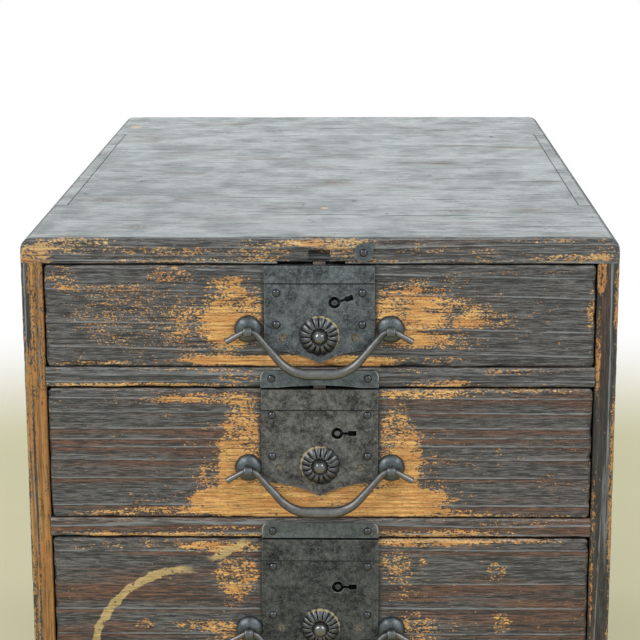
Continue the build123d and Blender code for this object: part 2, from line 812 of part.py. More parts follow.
# ---- Keepers ----
with BuildPart() as keeper_plates:
    for floor, keeper in zip(divider_floors, keepers):
        height = divider_thickness - keeper.upper_drop
        half = keeper_width / 2
        with BuildSketch(facing(0, front_y, floor)) as outline:
            with Locations([(0, height / 2)]):
                Rectangle(keeper_width, height)
            fillet(outline.vertices().group_by(Axis.Y)[-1], keeper_corner_radius)
            if keeper.arch:
                with BuildLine():
                    bay = ThreePointArc((-half + keeper_ear, 0), (0, keeper.arch), (half - keeper_ear, 0))
                    Line(bay @ 1, bay @ 0)
                make_face(mode=Mode.SUBTRACT)
            with Locations([(side * keeper_nail_spread, keeper.nail_rise) for side in (-1, 1)]):
                Circle(nail_shank_radius + nail_clearance, mode=Mode.SUBTRACT)
        extrude(amount=keeper_thickness)
write(keeper_plates.part, "keeper_plates")

with BuildPart() as keeper_remnant:
    with BuildSketch(facing(remnant_across, front_y, ceiling_z + remnant_above)):
        Circle(remnant_radius)
        Rectangle(remnant_radius, remnant_radius, align=(Align.MIN, Align.MIN))
        Circle(nail_shank_radius + nail_clearance, mode=Mode.SUBTRACT)
    extrude(amount=keeper_thickness)
write(keeper_remnant.part, "keeper_remnant")

with BuildPart() as keeper_nails:
    keeper_nail_places = [
        (side * keeper_nail_spread, front_y - keeper_thickness, floor + keeper.nail_rise)
        for floor, keeper in zip(divider_floors, keepers)
        for side in (-1, 1)
    ]
    remnant_nail_place = (remnant_across, front_y - keeper_thickness, ceiling_z + remnant_above)
    with Locations([*keeper_nail_places, remnant_nail_place]):
        add(nail.part)
write(keeper_nails.part, "keeper_nails")
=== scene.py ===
"""A small tansu chest, dressed: dark stained wood rubbed bare round the irons, and blackened ironwork.

Every size is in millimetres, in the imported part's own frame, and becomes metres where a mesh is made.
"""

from __future__ import annotations

import logging
from dataclasses import dataclass
from enum import Enum
from math import asin, atan2, cos, hypot, pi, radians, sin
from random import Random
from typing import Any, Callable, Iterable, Optional, Union

import bmesh
import bpy
from mathutils import Matrix, Vector, noise


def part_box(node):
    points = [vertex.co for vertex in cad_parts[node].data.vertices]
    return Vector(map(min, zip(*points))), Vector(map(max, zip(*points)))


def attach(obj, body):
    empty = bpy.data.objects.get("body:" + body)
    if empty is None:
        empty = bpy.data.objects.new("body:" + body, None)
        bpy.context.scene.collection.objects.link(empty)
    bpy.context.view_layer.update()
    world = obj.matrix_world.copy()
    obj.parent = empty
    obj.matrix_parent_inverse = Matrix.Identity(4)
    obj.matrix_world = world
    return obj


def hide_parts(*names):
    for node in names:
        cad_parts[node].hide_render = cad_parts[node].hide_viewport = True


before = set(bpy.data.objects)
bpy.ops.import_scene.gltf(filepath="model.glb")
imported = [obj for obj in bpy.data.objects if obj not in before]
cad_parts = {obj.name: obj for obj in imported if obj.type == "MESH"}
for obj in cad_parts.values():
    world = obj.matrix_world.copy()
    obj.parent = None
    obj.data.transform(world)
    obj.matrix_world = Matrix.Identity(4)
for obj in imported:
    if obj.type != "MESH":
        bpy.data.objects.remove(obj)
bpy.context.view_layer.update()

MM = 0.001
FRONT_Y = -236.0
LOG = logging.getLogger("tansu")

RGB = tuple[float, float, float]
Triple = tuple[float, float, float]


def clamped(value: float) -> float:
    """The value held between nought and one."""
    return max(0.0, min(1.0, value))


# ---- Shader maths ----
class Value:
    """A number that varies over a surface. Python's operators on it lay Math nodes."""

    def __init__(self, paint: "Paint", socket: bpy.types.NodeSocket) -> None:
        """Wraps a socket.

        Args:
            paint: the material that the socket belongs to.
            socket: the output that carries the number.
        """
        self.paint = paint
        self.socket = socket

    def __add__(self, other: "Number") -> "Value":
        """This plus the other."""
        return self.paint.maths("ADD", self, other)

    def __radd__(self, other: "Number") -> "Value":
        """The other plus this."""
        return self.paint.maths("ADD", other, self)

    def __sub__(self, other: "Number") -> "Value":
        """This less the other."""
        return self.paint.maths("SUBTRACT", self, other)

    def __rsub__(self, other: "Number") -> "Value":
        """The other less this."""
        return self.paint.maths("SUBTRACT", other, self)

    def __mul__(self, other: "Number") -> "Value":
        """This times the other."""
        return self.paint.maths("MULTIPLY", self, other)

    def __truediv__(self, other: "Number") -> "Value":
        """This over the other."""
        return self.paint.maths("DIVIDE", self, other)

    def __abs__(self) -> "Value":
        """This without its sign."""
        return self.paint.maths("ABSOLUTE", self)

    def part(self) -> "Value":
        """What this has after its decimal point."""
        return self.paint.maths("FRACT", self)

    def most(self, other: "Number") -> "Value":
        """The larger of this and the other."""
        return self.paint.maths("MAXIMUM", self, other)

    def least(self, other: "Number") -> "Value":
        """The smaller of this and the other."""
        return self.paint.maths("MINIMUM", self, other)

    def eased(self, start: "Number", end: "Number", low: float = 0.0, high: float = 1.0) -> "Value":
        """A soft step.

        Args:
            start: where the step begins.
            end: where it ends.
            low: the value before it.
            high: the value after it.

        Returns:
            The stepped value, held between low and high.
        """
        node = self.paint.node(
            "ShaderNodeMapRange",
            {"interpolation_type": "SMOOTHSTEP"},
            {"Value": self, "From Min": start, "From Max": end, "To Min": low, "To Max": high},
        )
        return Value(self.paint, node.outputs["Result"])


Number = Union[Value, float, int]
Tint = Union[RGB, bpy.types.NodeSocket]


class Paint:
    """One material while its nodes are laid. Its places are the piece's own coordinates in millimetres."""

    def __init__(self, name: str) -> None:
        """Starts an empty material under that name."""
        self.material = bpy.data.materials.new(name)
        self.material.use_nodes = True
        self.tree = self.material.node_tree
        self.tree.nodes.clear()
        coordinates = self.node("ShaderNodeTexCoord")
        self.place = self.node(
            "ShaderNodeVectorMath",
            {"operation": "SCALE"},
            {0: coordinates.outputs["Object"], "Scale": 1 / MM},
        ).outputs[0]
        split = self.node("ShaderNodeSeparateXYZ", {}, {0: self.place})
        self.x, self.y, self.z = (Value(self, output) for output in split.outputs)

    def node(
        self, kind: str, settings: Optional[dict[str, Any]] = None, inputs: Optional[dict[Any, Any]] = None
    ) -> bpy.types.Node:
        """Lays any node.

        Args:
            kind: the node's type.
            settings: its properties, which are set first.
            inputs: a value, a link or a Value for each of its sockets, by name or place.

        Returns:
            The node.
        """
        made = self.tree.nodes.new(kind)
        for name, value in (settings or {}).items():
            setattr(made, name, value)
        for name, value in (inputs or {}).items():
            if isinstance(value, Value):
                value = value.socket
            if isinstance(value, bpy.types.NodeSocket):
                self.tree.links.new(value, made.inputs[name])
            elif isinstance(value, tuple) and made.inputs[name].type == "RGBA":
                made.inputs[name].default_value = (*value, 1.0)
            else:
                made.inputs[name].default_value = value
        return made

    def maths(self, operation: str, *values: Number) -> Value:
        """One Math node on the values."""
        node = self.node("ShaderNodeMath", {"operation": operation}, dict(enumerate(values)))
        return Value(self, node.outputs[0])

    def mapped(self, at: Triple, size: Triple, turn: Triple = (0.0, 0.0, 0.0)) -> bpy.types.NodeSocket:
        """The place seen from a point, in units of a size.

        Args:
            at: the point that becomes the origin.
            size: the length that becomes one unit along each axis.
            turn: the angles in degrees that the pattern is turned by.

        Returns:
            The vector output.
        """
        node = self.node(
            "ShaderNodeMapping",
            {"vector_type": "TEXTURE"},
            {
                "Vector": self.place,
                "Location": at,
                "Rotation": tuple(radians(angle) for angle in turn),
                "Scale": size,
            },
        )
        return node.outputs[0]

    def cloud(
        self, size: Triple, seed: float, detail: float = 2.0, roughness: float = 0.5, twist: float = 0.0,
        turn: Triple = (0.0, 0.0, 0.0),
    ) -> Value:
        """A noise with features of about that size.

        Args:
            size: the features' size along x, y and z.
            seed: a shift that makes one noise unlike another.
            detail: the number of finer layers.
            roughness: the weight of the finer layers.
            twist: how much the noise bends itself.
            turn: the angles in degrees that the features lie turned by.

        Returns:
            A value about 0.5.
        """
        node = self.node(
            "ShaderNodeTexNoise",
            {},
            {
                "Vector": self.mapped((seed * 37.0, seed * -53.0, seed * 71.0), size, turn),
                "Scale": 1.0,
                "Detail": detail,
                "Roughness": roughness,
                "Distortion": twist,
            },
        )
        return Value(self, node.outputs[0])

    def distance(self, at: Triple, reach: Triple) -> Value:
        """How far the place is from a point, where the reach counts as one."""
        node = self.node("ShaderNodeVectorMath", {"operation": "LENGTH"}, {0: self.mapped(at, reach)})
        return Value(self, node.outputs["Value"])

    def mixed(self, amount: Number, first: Tint, second: Tint) -> bpy.types.NodeSocket:
        """The first colour turning into the second by the amount."""
        node = self.node(
            "ShaderNodeMix", {"data_type": "RGBA", "clamp_factor": True}, {0: amount, 6: first, 7: second}
        )
        return node.outputs[2]

    def rise_and_drop(self, height: Value, places: tuple[float, ...]) -> tuple[Value, Value]:
        """How far a height is above the next place below it, and below the next place above it.

        Args:
            height: the height in millimetres.
            places: rising heights in millimetres. The first and last lie outside what is seen.

        Returns:
            Both distances in millimetres.
        """
        low, high = places[0], places[-1]
        span = high - low
        share = (height - low) / span
        found = []
        for rising in (True, False):
            curve = self.node("ShaderNodeFloatCurve", {}, {"Value": share})
            points = curve.mapping.curves[0].points
            laid = []
            for below, above in zip(places, places[1:]):
                gap = (above - below) / span
                laid.append(((below - low) / span + 1e-5, 0.0 if rising else gap))
                laid.append(((above - low) / span - 1e-5, gap if rising else 0.0))
            points[0].location, points[1].location = laid[0], laid[-1]
            for place in laid[1:-1]:
                points.new(*place)
            for point in points:
                point.handle_type = "VECTOR"
            curve.mapping.update()
            found.append(Value(self, curve.outputs["Value"]) * span)
        return found[0], found[1]

    def edge_sense(self, radius: float) -> Value:
        """How sharply the surface bends within a radius."""
        rounded = self.node("ShaderNodeBevel", {"samples": 4}, {"Radius": radius * MM})
        own = self.node("ShaderNodeNewGeometry")
        dot = self.node(
            "ShaderNodeVectorMath",
            {"operation": "DOT_PRODUCT"},
            {0: rounded.outputs[0], 1: own.outputs["Normal"]},
        )
        return 1 - Value(self, dot.outputs["Value"])

    def nook_shade(self, reach: float) -> Value:
        """How far the place is shut in by what stands within a reach in millimetres, for the painted shade in
        nooks.
        """
        node = self.node("ShaderNodeAmbientOcclusion", {"samples": 6}, {"Distance": reach * MM})
        return 1 - Value(self, node.outputs["AO"])

    def attribute(self, name: str) -> Value:
        """A number that the piece's mesh carries."""
        return Value(self, self.node("ShaderNodeAttribute", {"attribute_name": name}).outputs["Fac"])

    def finish(
        self,
        colour: Tint,
        roughness: Number,
        height: Optional[Value] = None,
        lift: float = 0.1,
        metallic: Number = 0.0,
        specular: float = 0.5,
        coat: Number = 0.0,
        coat_roughness: float = 0.3,
    ) -> bpy.types.Material:
        """Ends the material with its shader.

        Args:
            colour: the base colour.
            roughness: the roughness.
            height: the relief, as shares of the lift.
            lift: the relief's height in millimetres.
            metallic: how far the surface is metal.
            specular: the strength of the plain reflection.
            coat: the weight of a clear layer.
            coat_roughness: that layer's roughness.

        Returns:
            The material.
        """
        inputs = {
            "Base Color": colour,
            "Roughness": roughness,
            "Metallic": metallic,
            "Specular IOR Level": specular,
            "Coat Weight": coat,
            "Coat Roughness": coat_roughness,
        }
        if height is not None:
            bump = self.node("ShaderNodeBump", {}, {"Height": height, "Distance": lift * MM, "Strength": 1.0})
            inputs["Normal"] = bump.outputs[0]
        shader = self.node("ShaderNodeBsdfPrincipled", {}, inputs)
        self.node("ShaderNodeOutputMaterial", {}, {"Surface": shader.outputs[0]})
        return self.material


# ---- Wood ----
class Grain(Enum):
    """The way that a board's fibres run."""

    ACROSS = "x"
    DEEP = "y"
    UPRIGHT = "z"

    def size(self, along: float, around: float) -> Triple:
        """A feature's size: long along the fibres, short across them."""
        return tuple(along if self.value == axis else around for axis in "xyz")


@dataclass(frozen=True)
class Spot:
    """A place where the stain is rubbed away (or kept, where the amount is negative)."""

    at: Triple
    reach: Triple
    amount: float
    soft: float = 0.6

    def field(self, paint: Paint) -> Value:
        """The amount at the middle, falling to nothing at the reach."""
        return paint.distance(self.at, self.reach).eased(1.0, 1.0 - self.soft, 0.0, self.amount)


def on_face(x: float, z: float, across: float, up: float, amount: float, soft: float = 0.6) -> Spot:
    """A spot on the front, given in x and height, whatever the depth."""
    return Spot((x, FRONT_Y, z), (across, 14.0, up), amount, soft)


def face_spots(*rows: tuple[float, ...]) -> tuple[Spot, ...]:
    """Spots on the front, each given in the order that on_face takes."""
    return tuple(on_face(*row) for row in rows)


@dataclass(frozen=True)
class Scuff:
    """A pale scuff along an arc on the front."""

    x: float
    z: float
    radius: float
    width: float
    within: Spot

    def field(self, paint: Paint) -> Value:
        """One on the arc, none off it."""
        waver = paint.cloud((6.0, 50.0, 6.0), 8.3, 3.0, 0.6)
        off = abs(paint.distance((self.x, 0.0, self.z), (1.0, 9999.0, 1.0)) - self.radius)
        breaks = paint.cloud((3.0, 50.0, 3.0), 5.1, 4.0, 0.7)
        line = (off + (waver - 0.5) * 5.0).eased(self.width, self.width * 0.75)
        return line * self.within.field(paint) * breaks.eased(0.36, 0.42)


@dataclass(frozen=True)
class WoodTones:
    """The colours that the stain and the bare wood under it are mixed from, with the painted highlights and
    painted shadows laid on them.
    """

    # Painted highlight: the pale grey laid along the raised rings.
    lit_ridge: RGB = (0.235, 0.245, 0.255)
    thread: RGB = (0.225, 0.230, 0.235)
    # Painted shadow: the near-black laid under each raised ring.
    groove_shadow: RGB = (0.020, 0.018, 0.017)
    brown_low: RGB = (0.034, 0.016, 0.011)
    brown_high: RGB = (0.175, 0.073, 0.036)
    line: RGB = (0.012, 0.011, 0.011)
    halo: RGB = (0.205, 0.125, 0.075)
    bare_fibre: RGB = (0.36, 0.135, 0.036)
    bare_pore: RGB = (0.22, 0.085, 0.030)
    bare_line: RGB = (0.085, 0.040, 0.020)
    bare_patch: RGB = (0.52, 0.215, 0.060)
    # Painted shadow under each raised ring, where the stain is rubbed away.
    bare_groove_shadow: RGB = (0.16, 0.070, 0.028)
    bare_edge: RGB = (0.74, 0.52, 0.25)
    scuff_low: RGB = (0.36, 0.24, 0.09)
    scuff_high: RGB = (0.62, 0.46, 0.20)
    # The upper front edge's pale grey: partly rubbed wear, partly a painted highlight.
    arris: RGB = (0.40, 0.385, 0.36)
    polish: RGB = (0.050, 0.064, 0.064)
    polish_stain: RGB = (0.17, 0.105, 0.066)
    # The near-black of the painted shade and grime along the irons' sides.
    dirt: RGB = (0.035, 0.032, 0.030)
    cut: RGB = (0.012, 0.011, 0.010)


TONES = WoodTones()


class Fibres:
    """The clouds that a stained board's finish is mixed from."""

    def __init__(self, paint: Paint, grain: Grain, seed: float) -> None:
        """Lays the clouds.

        Args:
            paint: the board's material.
            grain: the way that the fibres run.
            seed: a shift that makes one board unlike another.
        """
        self.fine = paint.cloud(grain.size(7.0, 0.45), seed + 1.0, 4.0, 0.74)
        self.streak = paint.cloud(grain.size(60.0, 1.3), seed + 2.0, 3.0, 0.62)
        self.broad = paint.cloud(grain.size(110.0, 13.0), seed + 3.0, 2.0, 0.5)
        self.pores = paint.cloud(grain.size(1.3, 0.75), seed + 4.0, 2.0, 0.65)
        self.flake = paint.cloud(grain.size(3.6, 1.7), seed + 5.0, 5.0, 0.72, 0.35)
        self.patch = paint.cloud(grain.size(20.0, 8.0), seed + 6.0, 3.0, 0.6, 0.4)
        self.warp = paint.cloud(grain.size(420.0, 15.0), seed + 7.0, 2.0, 0.6)
        self.waver = paint.cloud(grain.size(60.0, 4.0), seed + 8.0, 3.0, 0.6)
        self.thread = paint.cloud(grain.size(24.0, 0.70), seed + 10.0, 3.0, 0.66)
        self.nicks = paint.cloud((5.0, 5.0, 1.1), seed + 16.0, 3.0, 0.6, 0.6, (0.0, 38.0, 0.0))
        self.fibre = (self.fine * 0.74 + self.streak * 0.26).eased(0.41, 0.59)
        self.lines = paint.cloud(grain.size(17.0, 0.75), seed + 9.0, 3.0, 0.66).eased(0.46, 0.37)


@dataclass
class Rings:
    """How near a place is to a yearly ring.

    Attributes:
        lit_ridge: one on the raised ring, which is painted paler as a painted highlight.
        groove_shadow: one under it, where the surface dips and a painted shadow is laid.
        band: one just below it, where the wood is redder.
    """

    lit_ridge: Value
    groove_shadow: Value
    band: Value


@dataclass
class Surface:
    """What a finish says of its surface while it is mixed."""

    colour: bpy.types.NodeSocket
    roughness: Value
    height: Value
    coat: Number = 0.0


@dataclass(frozen=True)
class StainedWood:
    """Old dark stain over warm wood, with raised grain, rubbed bare in places.

    Attributes:
        name: the material's name.
        low: the worn block's lowest corner.
        high: its highest corner.
        grain: the way that the fibres run.
        layers: how the yearly rings lie, as steps along x, y and z.
        spots: where the stain is rubbed away.
        brown: how much of the stain has turned brown.
        rub: how bare the block's edges are.
        seed: a shift that makes one board unlike another.
        ring: the space between the rings.
        rings: the rings' own levels, where they are known.
        gloss: how rough the surface is at its smoothest.
        dirt: painted shade with grime, darkening the wood along the irons' sides.
        speckled: places where only small specks are rubbed away.
        scuffs: pale scuffs.
        cuts: lines where a joint shows.
        hold: how well the stain holds where nothing rubs it.
        nicked: how many small slanting knocks have bared it.
        lift: the height of the grain in millimetres.
        arris: how pale the upper front edge is: partly rubbed, partly a painted highlight.
        polish_above: the height above which the top's polish is left, or nothing.
        bare: the bare wood's colour.
        pale: the bare wood's palest colour.
        dark: the stain's colour.
        grey: the stain's colour where its fibres stand up.
    """

    name: str
    low: Triple
    high: Triple
    grain: Grain = Grain.ACROSS
    layers: Triple = (0.0, 0.25, 1.0)
    spots: tuple[Spot, ...] = ()
    brown: float = 0.25
    rub: float = 0.5
    seed: float = 0.0
    ring: float = 6.0
    rings: tuple[float, ...] = ()
    gloss: float = 0.42
    dirt: tuple[Spot, ...] = ()
    speckled: tuple[Spot, ...] = ()
    scuffs: tuple[Scuff, ...] = ()
    cuts: Optional[Callable[[Paint], Value]] = None
    hold: float = 0.35
    nicked: float = 0.10
    lift: float = 0.26
    arris: float = 0.45
    polish_above: float = 0.0
    bare: RGB = (0.65, 0.30, 0.083)
    pale: RGB = (0.87, 0.52, 0.178)
    dark: RGB = (0.013, 0.012, 0.012)
    grey: RGB = (0.136, 0.131, 0.130)

    def edges(self, paint: Paint, reach: float) -> Value:
        """One along the block's edges, none further in than the reach."""
        near = []
        for place, low, high in zip((paint.x, paint.y, paint.z), self.low, self.high):
            inside = (place - low).least(high - place)
            near.append(inside.eased(reach, 0.0))
        return (near[0] * near[1]).most(near[1] * near[2]).most(near[0] * near[2])

    def yearly_rings(self, paint: Paint, fibres: Fibres) -> Rings:
        """The rings, which stand up a little, with the masks for their painted highlight and painted shadow."""
        step = paint.x * self.layers[0] + paint.y * self.layers[1] + paint.z * self.layers[2]
        if self.rings:
            level = step + (fibres.warp - 0.5) * 5.0 + (fibres.waver - 0.5) * 1.1
            above, under = paint.rise_and_drop(level, self.rings)
        else:
            turn = (step / self.ring + (fibres.warp - 0.5) * 3.4 + (fibres.waver - 0.5) * 0.30 + self.seed).part()
            above, under = turn * self.ring, (1 - turn) * self.ring
        return Rings(
            lit_ridge=above.eased(0.0, 0.25) * above.eased(1.15, 0.55) * fibres.waver.eased(0.34, 0.54, 0.35, 1.0),
            groove_shadow=under.eased(0.0, 0.15) * under.eased(1.0, 0.45),
            band=under.eased(4.2, 0.6),
        )

    def stain(self, paint: Paint, fibres: Fibres, rings: Rings) -> bpy.types.NodeSocket:
        """The stain's colour: dark, greyer where its fibres stand up, brown in places, with a painted highlight
        on each raised ring and a painted shadow under it.
        """
        colour = paint.mixed(fibres.fibre, self.dark, self.grey)
        # Painted highlight: the raised rings are painted pale grey, as if lit from above.
        colour = paint.mixed(rings.lit_ridge * 0.85, colour, TONES.lit_ridge)
        colour = paint.mixed(fibres.thread.eased(0.58, 0.67) * 0.6, colour, TONES.thread)
        # Painted shadow: the place under each raised ring is painted near-black.
        colour = paint.mixed(rings.groove_shadow * 0.6, colour, TONES.groove_shadow)
        browned = (fibres.broad * 0.60 + fibres.streak * 0.34 + rings.band * 0.11).eased(
            0.68 - 0.30 * self.brown, 0.80 - 0.26 * self.brown
        )
        browned = browned * (0.35 + 0.65 * self.brown) * (1 - rings.lit_ridge)
        colour = paint.mixed(browned, colour, paint.mixed(fibres.fibre, TONES.brown_low, TONES.brown_high))
        return paint.mixed(fibres.lines * 0.85, colour, TONES.line)

    def bare_wood(self, paint: Paint, fibres: Fibres, rings: Rings) -> bpy.types.NodeSocket:
        """The colour of the wood under the stain."""
        colour = paint.mixed(fibres.streak.eased(0.38, 0.62), self.bare, self.pale)
        colour = paint.mixed(fibres.fine.eased(0.52, 0.38) * 0.62, colour, TONES.bare_fibre)
        colour = paint.mixed(fibres.pores.eased(0.44, 0.34) * 0.55, colour, TONES.bare_pore)
        colour = paint.mixed(fibres.lines * 0.65, colour, TONES.bare_line)
        colour = paint.mixed(fibres.patch.eased(0.50, 0.66) * 0.5, colour, TONES.bare_patch)
        # Painted shadow under each raised ring, on the bare wood too.
        colour = paint.mixed(rings.groove_shadow * 0.5, colour, TONES.bare_groove_shadow)
        return paint.mixed(self.edges(paint, 2.4) * 0.45, colour, TONES.bare_edge)

    def rubbed_through(self, paint: Paint, fibres: Fibres, rings: Rings) -> tuple[Value, Value]:
        """Where the stain is rubbed away, and the thin stain round those places."""
        rubbed = self.edges(paint, 2.6) * self.rub * 0.95 + self.edges(paint, 0.9) * self.rub * 0.35
        for spot in self.spots:
            rubbed = rubbed + spot.field(paint)
        speckle = 0.0
        for spot in self.speckled:
            speckle = speckle + spot.field(paint)
        chance = fibres.flake * 1.30 + fibres.patch * 0.62 + fibres.pores * (1.45 + speckle)
        chance = chance - rings.lit_ridge * 0.04 - fibres.lines * 0.14 - speckle * 0.45
        chance = chance + fibres.nicks.eased(0.60, 0.72) * self.nicked
        over = chance - (1.685 + self.hold * 1.20 - rubbed * 0.42)
        return over.eased(-0.015, 0.03), over.eased(-0.10, 0.0)

    def polished(self, paint: Paint, fibres: Fibres, surface: Surface, worn: Value, cut: Value) -> None:
        """Lays the top's old polish over the surface, shiny where it is whole.

        Args:
            paint: the board's material.
            fibres: its clouds.
            surface: the surface so far, which is changed.
            worn: where the stain is rubbed away.
            cut: where a joint shows.
        """
        seed = self.seed
        polish = paint.z.eased(self.polish_above, self.polish_above + 0.9)
        stains = paint.cloud((60.0, 22.0, 22.0), seed + 12.0, 4.0, 0.62, 0.3).eased(0.54, 0.70)
        cracks = paint.cloud((85.0, 2.6, 2.6), seed + 13.0, 3.0, 0.55, 0.25).eased(0.36, 0.29)
        knocks = paint.cloud((5.0, 7.0, 7.0), seed + 14.0, 4.0, 0.65, 1.2).eased(0.64, 0.72)
        mist = paint.cloud((26.0, 26.0, 26.0), seed + 15.0, 4.0, 0.65).eased(0.35, 0.68)
        dull = cracks * 0.9 + knocks * 0.7 + fibres.lines * 0.45 + mist * 0.40 + stains * 0.3 + cut
        dull = dull.least(1.0)
        marks = cracks * 0.9 + knocks * 0.6 + fibres.lines * 0.4
        surface.colour = paint.mixed(polish * (1 - worn) * 0.7, surface.colour, TONES.polish)
        surface.colour = paint.mixed(polish * stains * 0.6, surface.colour, TONES.polish_stain)
        surface.colour = paint.mixed(polish * marks, surface.colour, TONES.line)
        surface.height = surface.height * (1 - polish * 0.74) - polish * (cracks + knocks * 0.5)
        surface.roughness = surface.roughness * (1 - polish * (1 - dull) * 0.35) + polish * dull * 0.4
        surface.coat = polish * (1 - dull * 0.9)

    def make(self) -> bpy.types.Material:
        """Lays the wood's nodes and returns the material."""
        paint = Paint(self.name)
        fibres = Fibres(paint, self.grain, self.seed)
        rings = self.yearly_rings(paint, fibres)
        worn, halo = self.rubbed_through(paint, fibres, rings)
        colour = paint.mixed(halo * 0.55, self.stain(paint, fibres, rings), TONES.halo)
        colour = paint.mixed(worn, colour, self.bare_wood(paint, fibres, rings))
        for scuff in self.scuffs:
            chalk = paint.mixed(fibres.fine.eased(0.35, 0.6), TONES.scuff_low, TONES.scuff_high)
            colour = paint.mixed(scuff.field(paint) * 0.92, colour, chalk)
        # Painted highlight with wear: the upper front edge is paled as if it caught the light.
        arris = (paint.z - (self.high[2] - 1.9)).eased(0.0, 1.6) * (paint.y - self.low[1]).eased(2.2, 0.9)
        colour = paint.mixed(arris * fibres.fine.eased(0.38, 0.56) * self.arris, colour, TONES.arris)
        # Painted shade with grime: the wood darkens along the irons' sides.
        for shade in self.dirt:
            colour = paint.mixed(shade.field(paint) * (0.55 + fibres.fine * 0.6), colour, TONES.dirt)
        height = fibres.fibre * 0.46 + rings.lit_ridge * 0.40 - rings.groove_shadow * 0.35 - fibres.lines * 0.5
        surface = Surface(
            colour,
            self.gloss + (1 - fibres.fibre) * 0.16 + worn * 0.14 - rings.lit_ridge * 0.05,
            height - worn * 0.25 + fibres.pores * 0.30,
        )
        if self.cuts is not None:
            cut = self.cuts(paint)
            if self.polish_above:
                self.polished(paint, fibres, surface, worn, cut)
            surface.colour = paint.mixed(cut * 0.9, surface.colour, TONES.cut)
            surface.height = surface.height - cut * 1.2
        return paint.finish(
            surface.colour, surface.roughness, surface.height, self.lift, coat=surface.coat, coat_roughness=0.2
        )


@dataclass(frozen=True)
class PlainWood:
    """Unstained wood, darkened by age: the drawers' insides, the back and the pegs."""

    name: str
    grain: Grain
    seed: float = 0.0
    light: RGB = (0.44, 0.27, 0.135)
    deep: RGB = (0.25, 0.135, 0.062)

    def make(self) -> bpy.types.Material:
        """Lays the wood's nodes and returns the material."""
        paint, grain, seed = Paint(self.name), self.grain, self.seed
        fine = paint.cloud(grain.size(14.0, 0.55), seed + 1.0, 3.0, 0.6)
        streak = paint.cloud(grain.size(70.0, 2.4), seed + 2.0, 3.0, 0.6)
        stains = paint.cloud((45.0, 45.0, 45.0), seed + 3.0, 4.0, 0.6)
        warp = paint.cloud(grain.size(160.0, 28.0), seed + 4.0, 2.0, 0.5)
        step = {
            Grain.ACROSS: paint.z + paint.y * 0.3,
            Grain.DEEP: paint.x + paint.z * 0.6,
            Grain.UPRIGHT: paint.x + paint.y * 0.4,
        }[grain]
        turn = (step / 8.0 + (warp - 0.5) * 4.0).part()
        late = turn.eased(0.45, 0.95) * turn.eased(1.0, 0.97)
        colour = paint.mixed((fine * 0.5 + streak * 0.5).eased(0.35, 0.65), self.deep, self.light)
        colour = paint.mixed(late * 0.45, colour, (0.20, 0.095, 0.040))
        colour = paint.mixed(stains.eased(0.52, 0.72) * 0.55, colour, (0.085, 0.060, 0.042))
        roughness = 0.62 + fine * 0.2
        return paint.finish(colour, roughness, fine * 0.6 + late * 0.4, 0.10, specular=0.35)


# ---- Iron ----
@dataclass(frozen=True)
class Scratch:
    """A thin bright line on a plate: part of a circle on the front."""

    x: float
    z: float
    radius: float
    width: float
    within: Spot

    def field(self, paint: Paint) -> Value:
        """One on the line, none off it."""
        off = abs(paint.distance((self.x, 0.0, self.z), (1.0, 9999.0, 1.0)) - self.radius)
        return off.eased(self.width, self.width * 0.4) * self.within.field(paint)


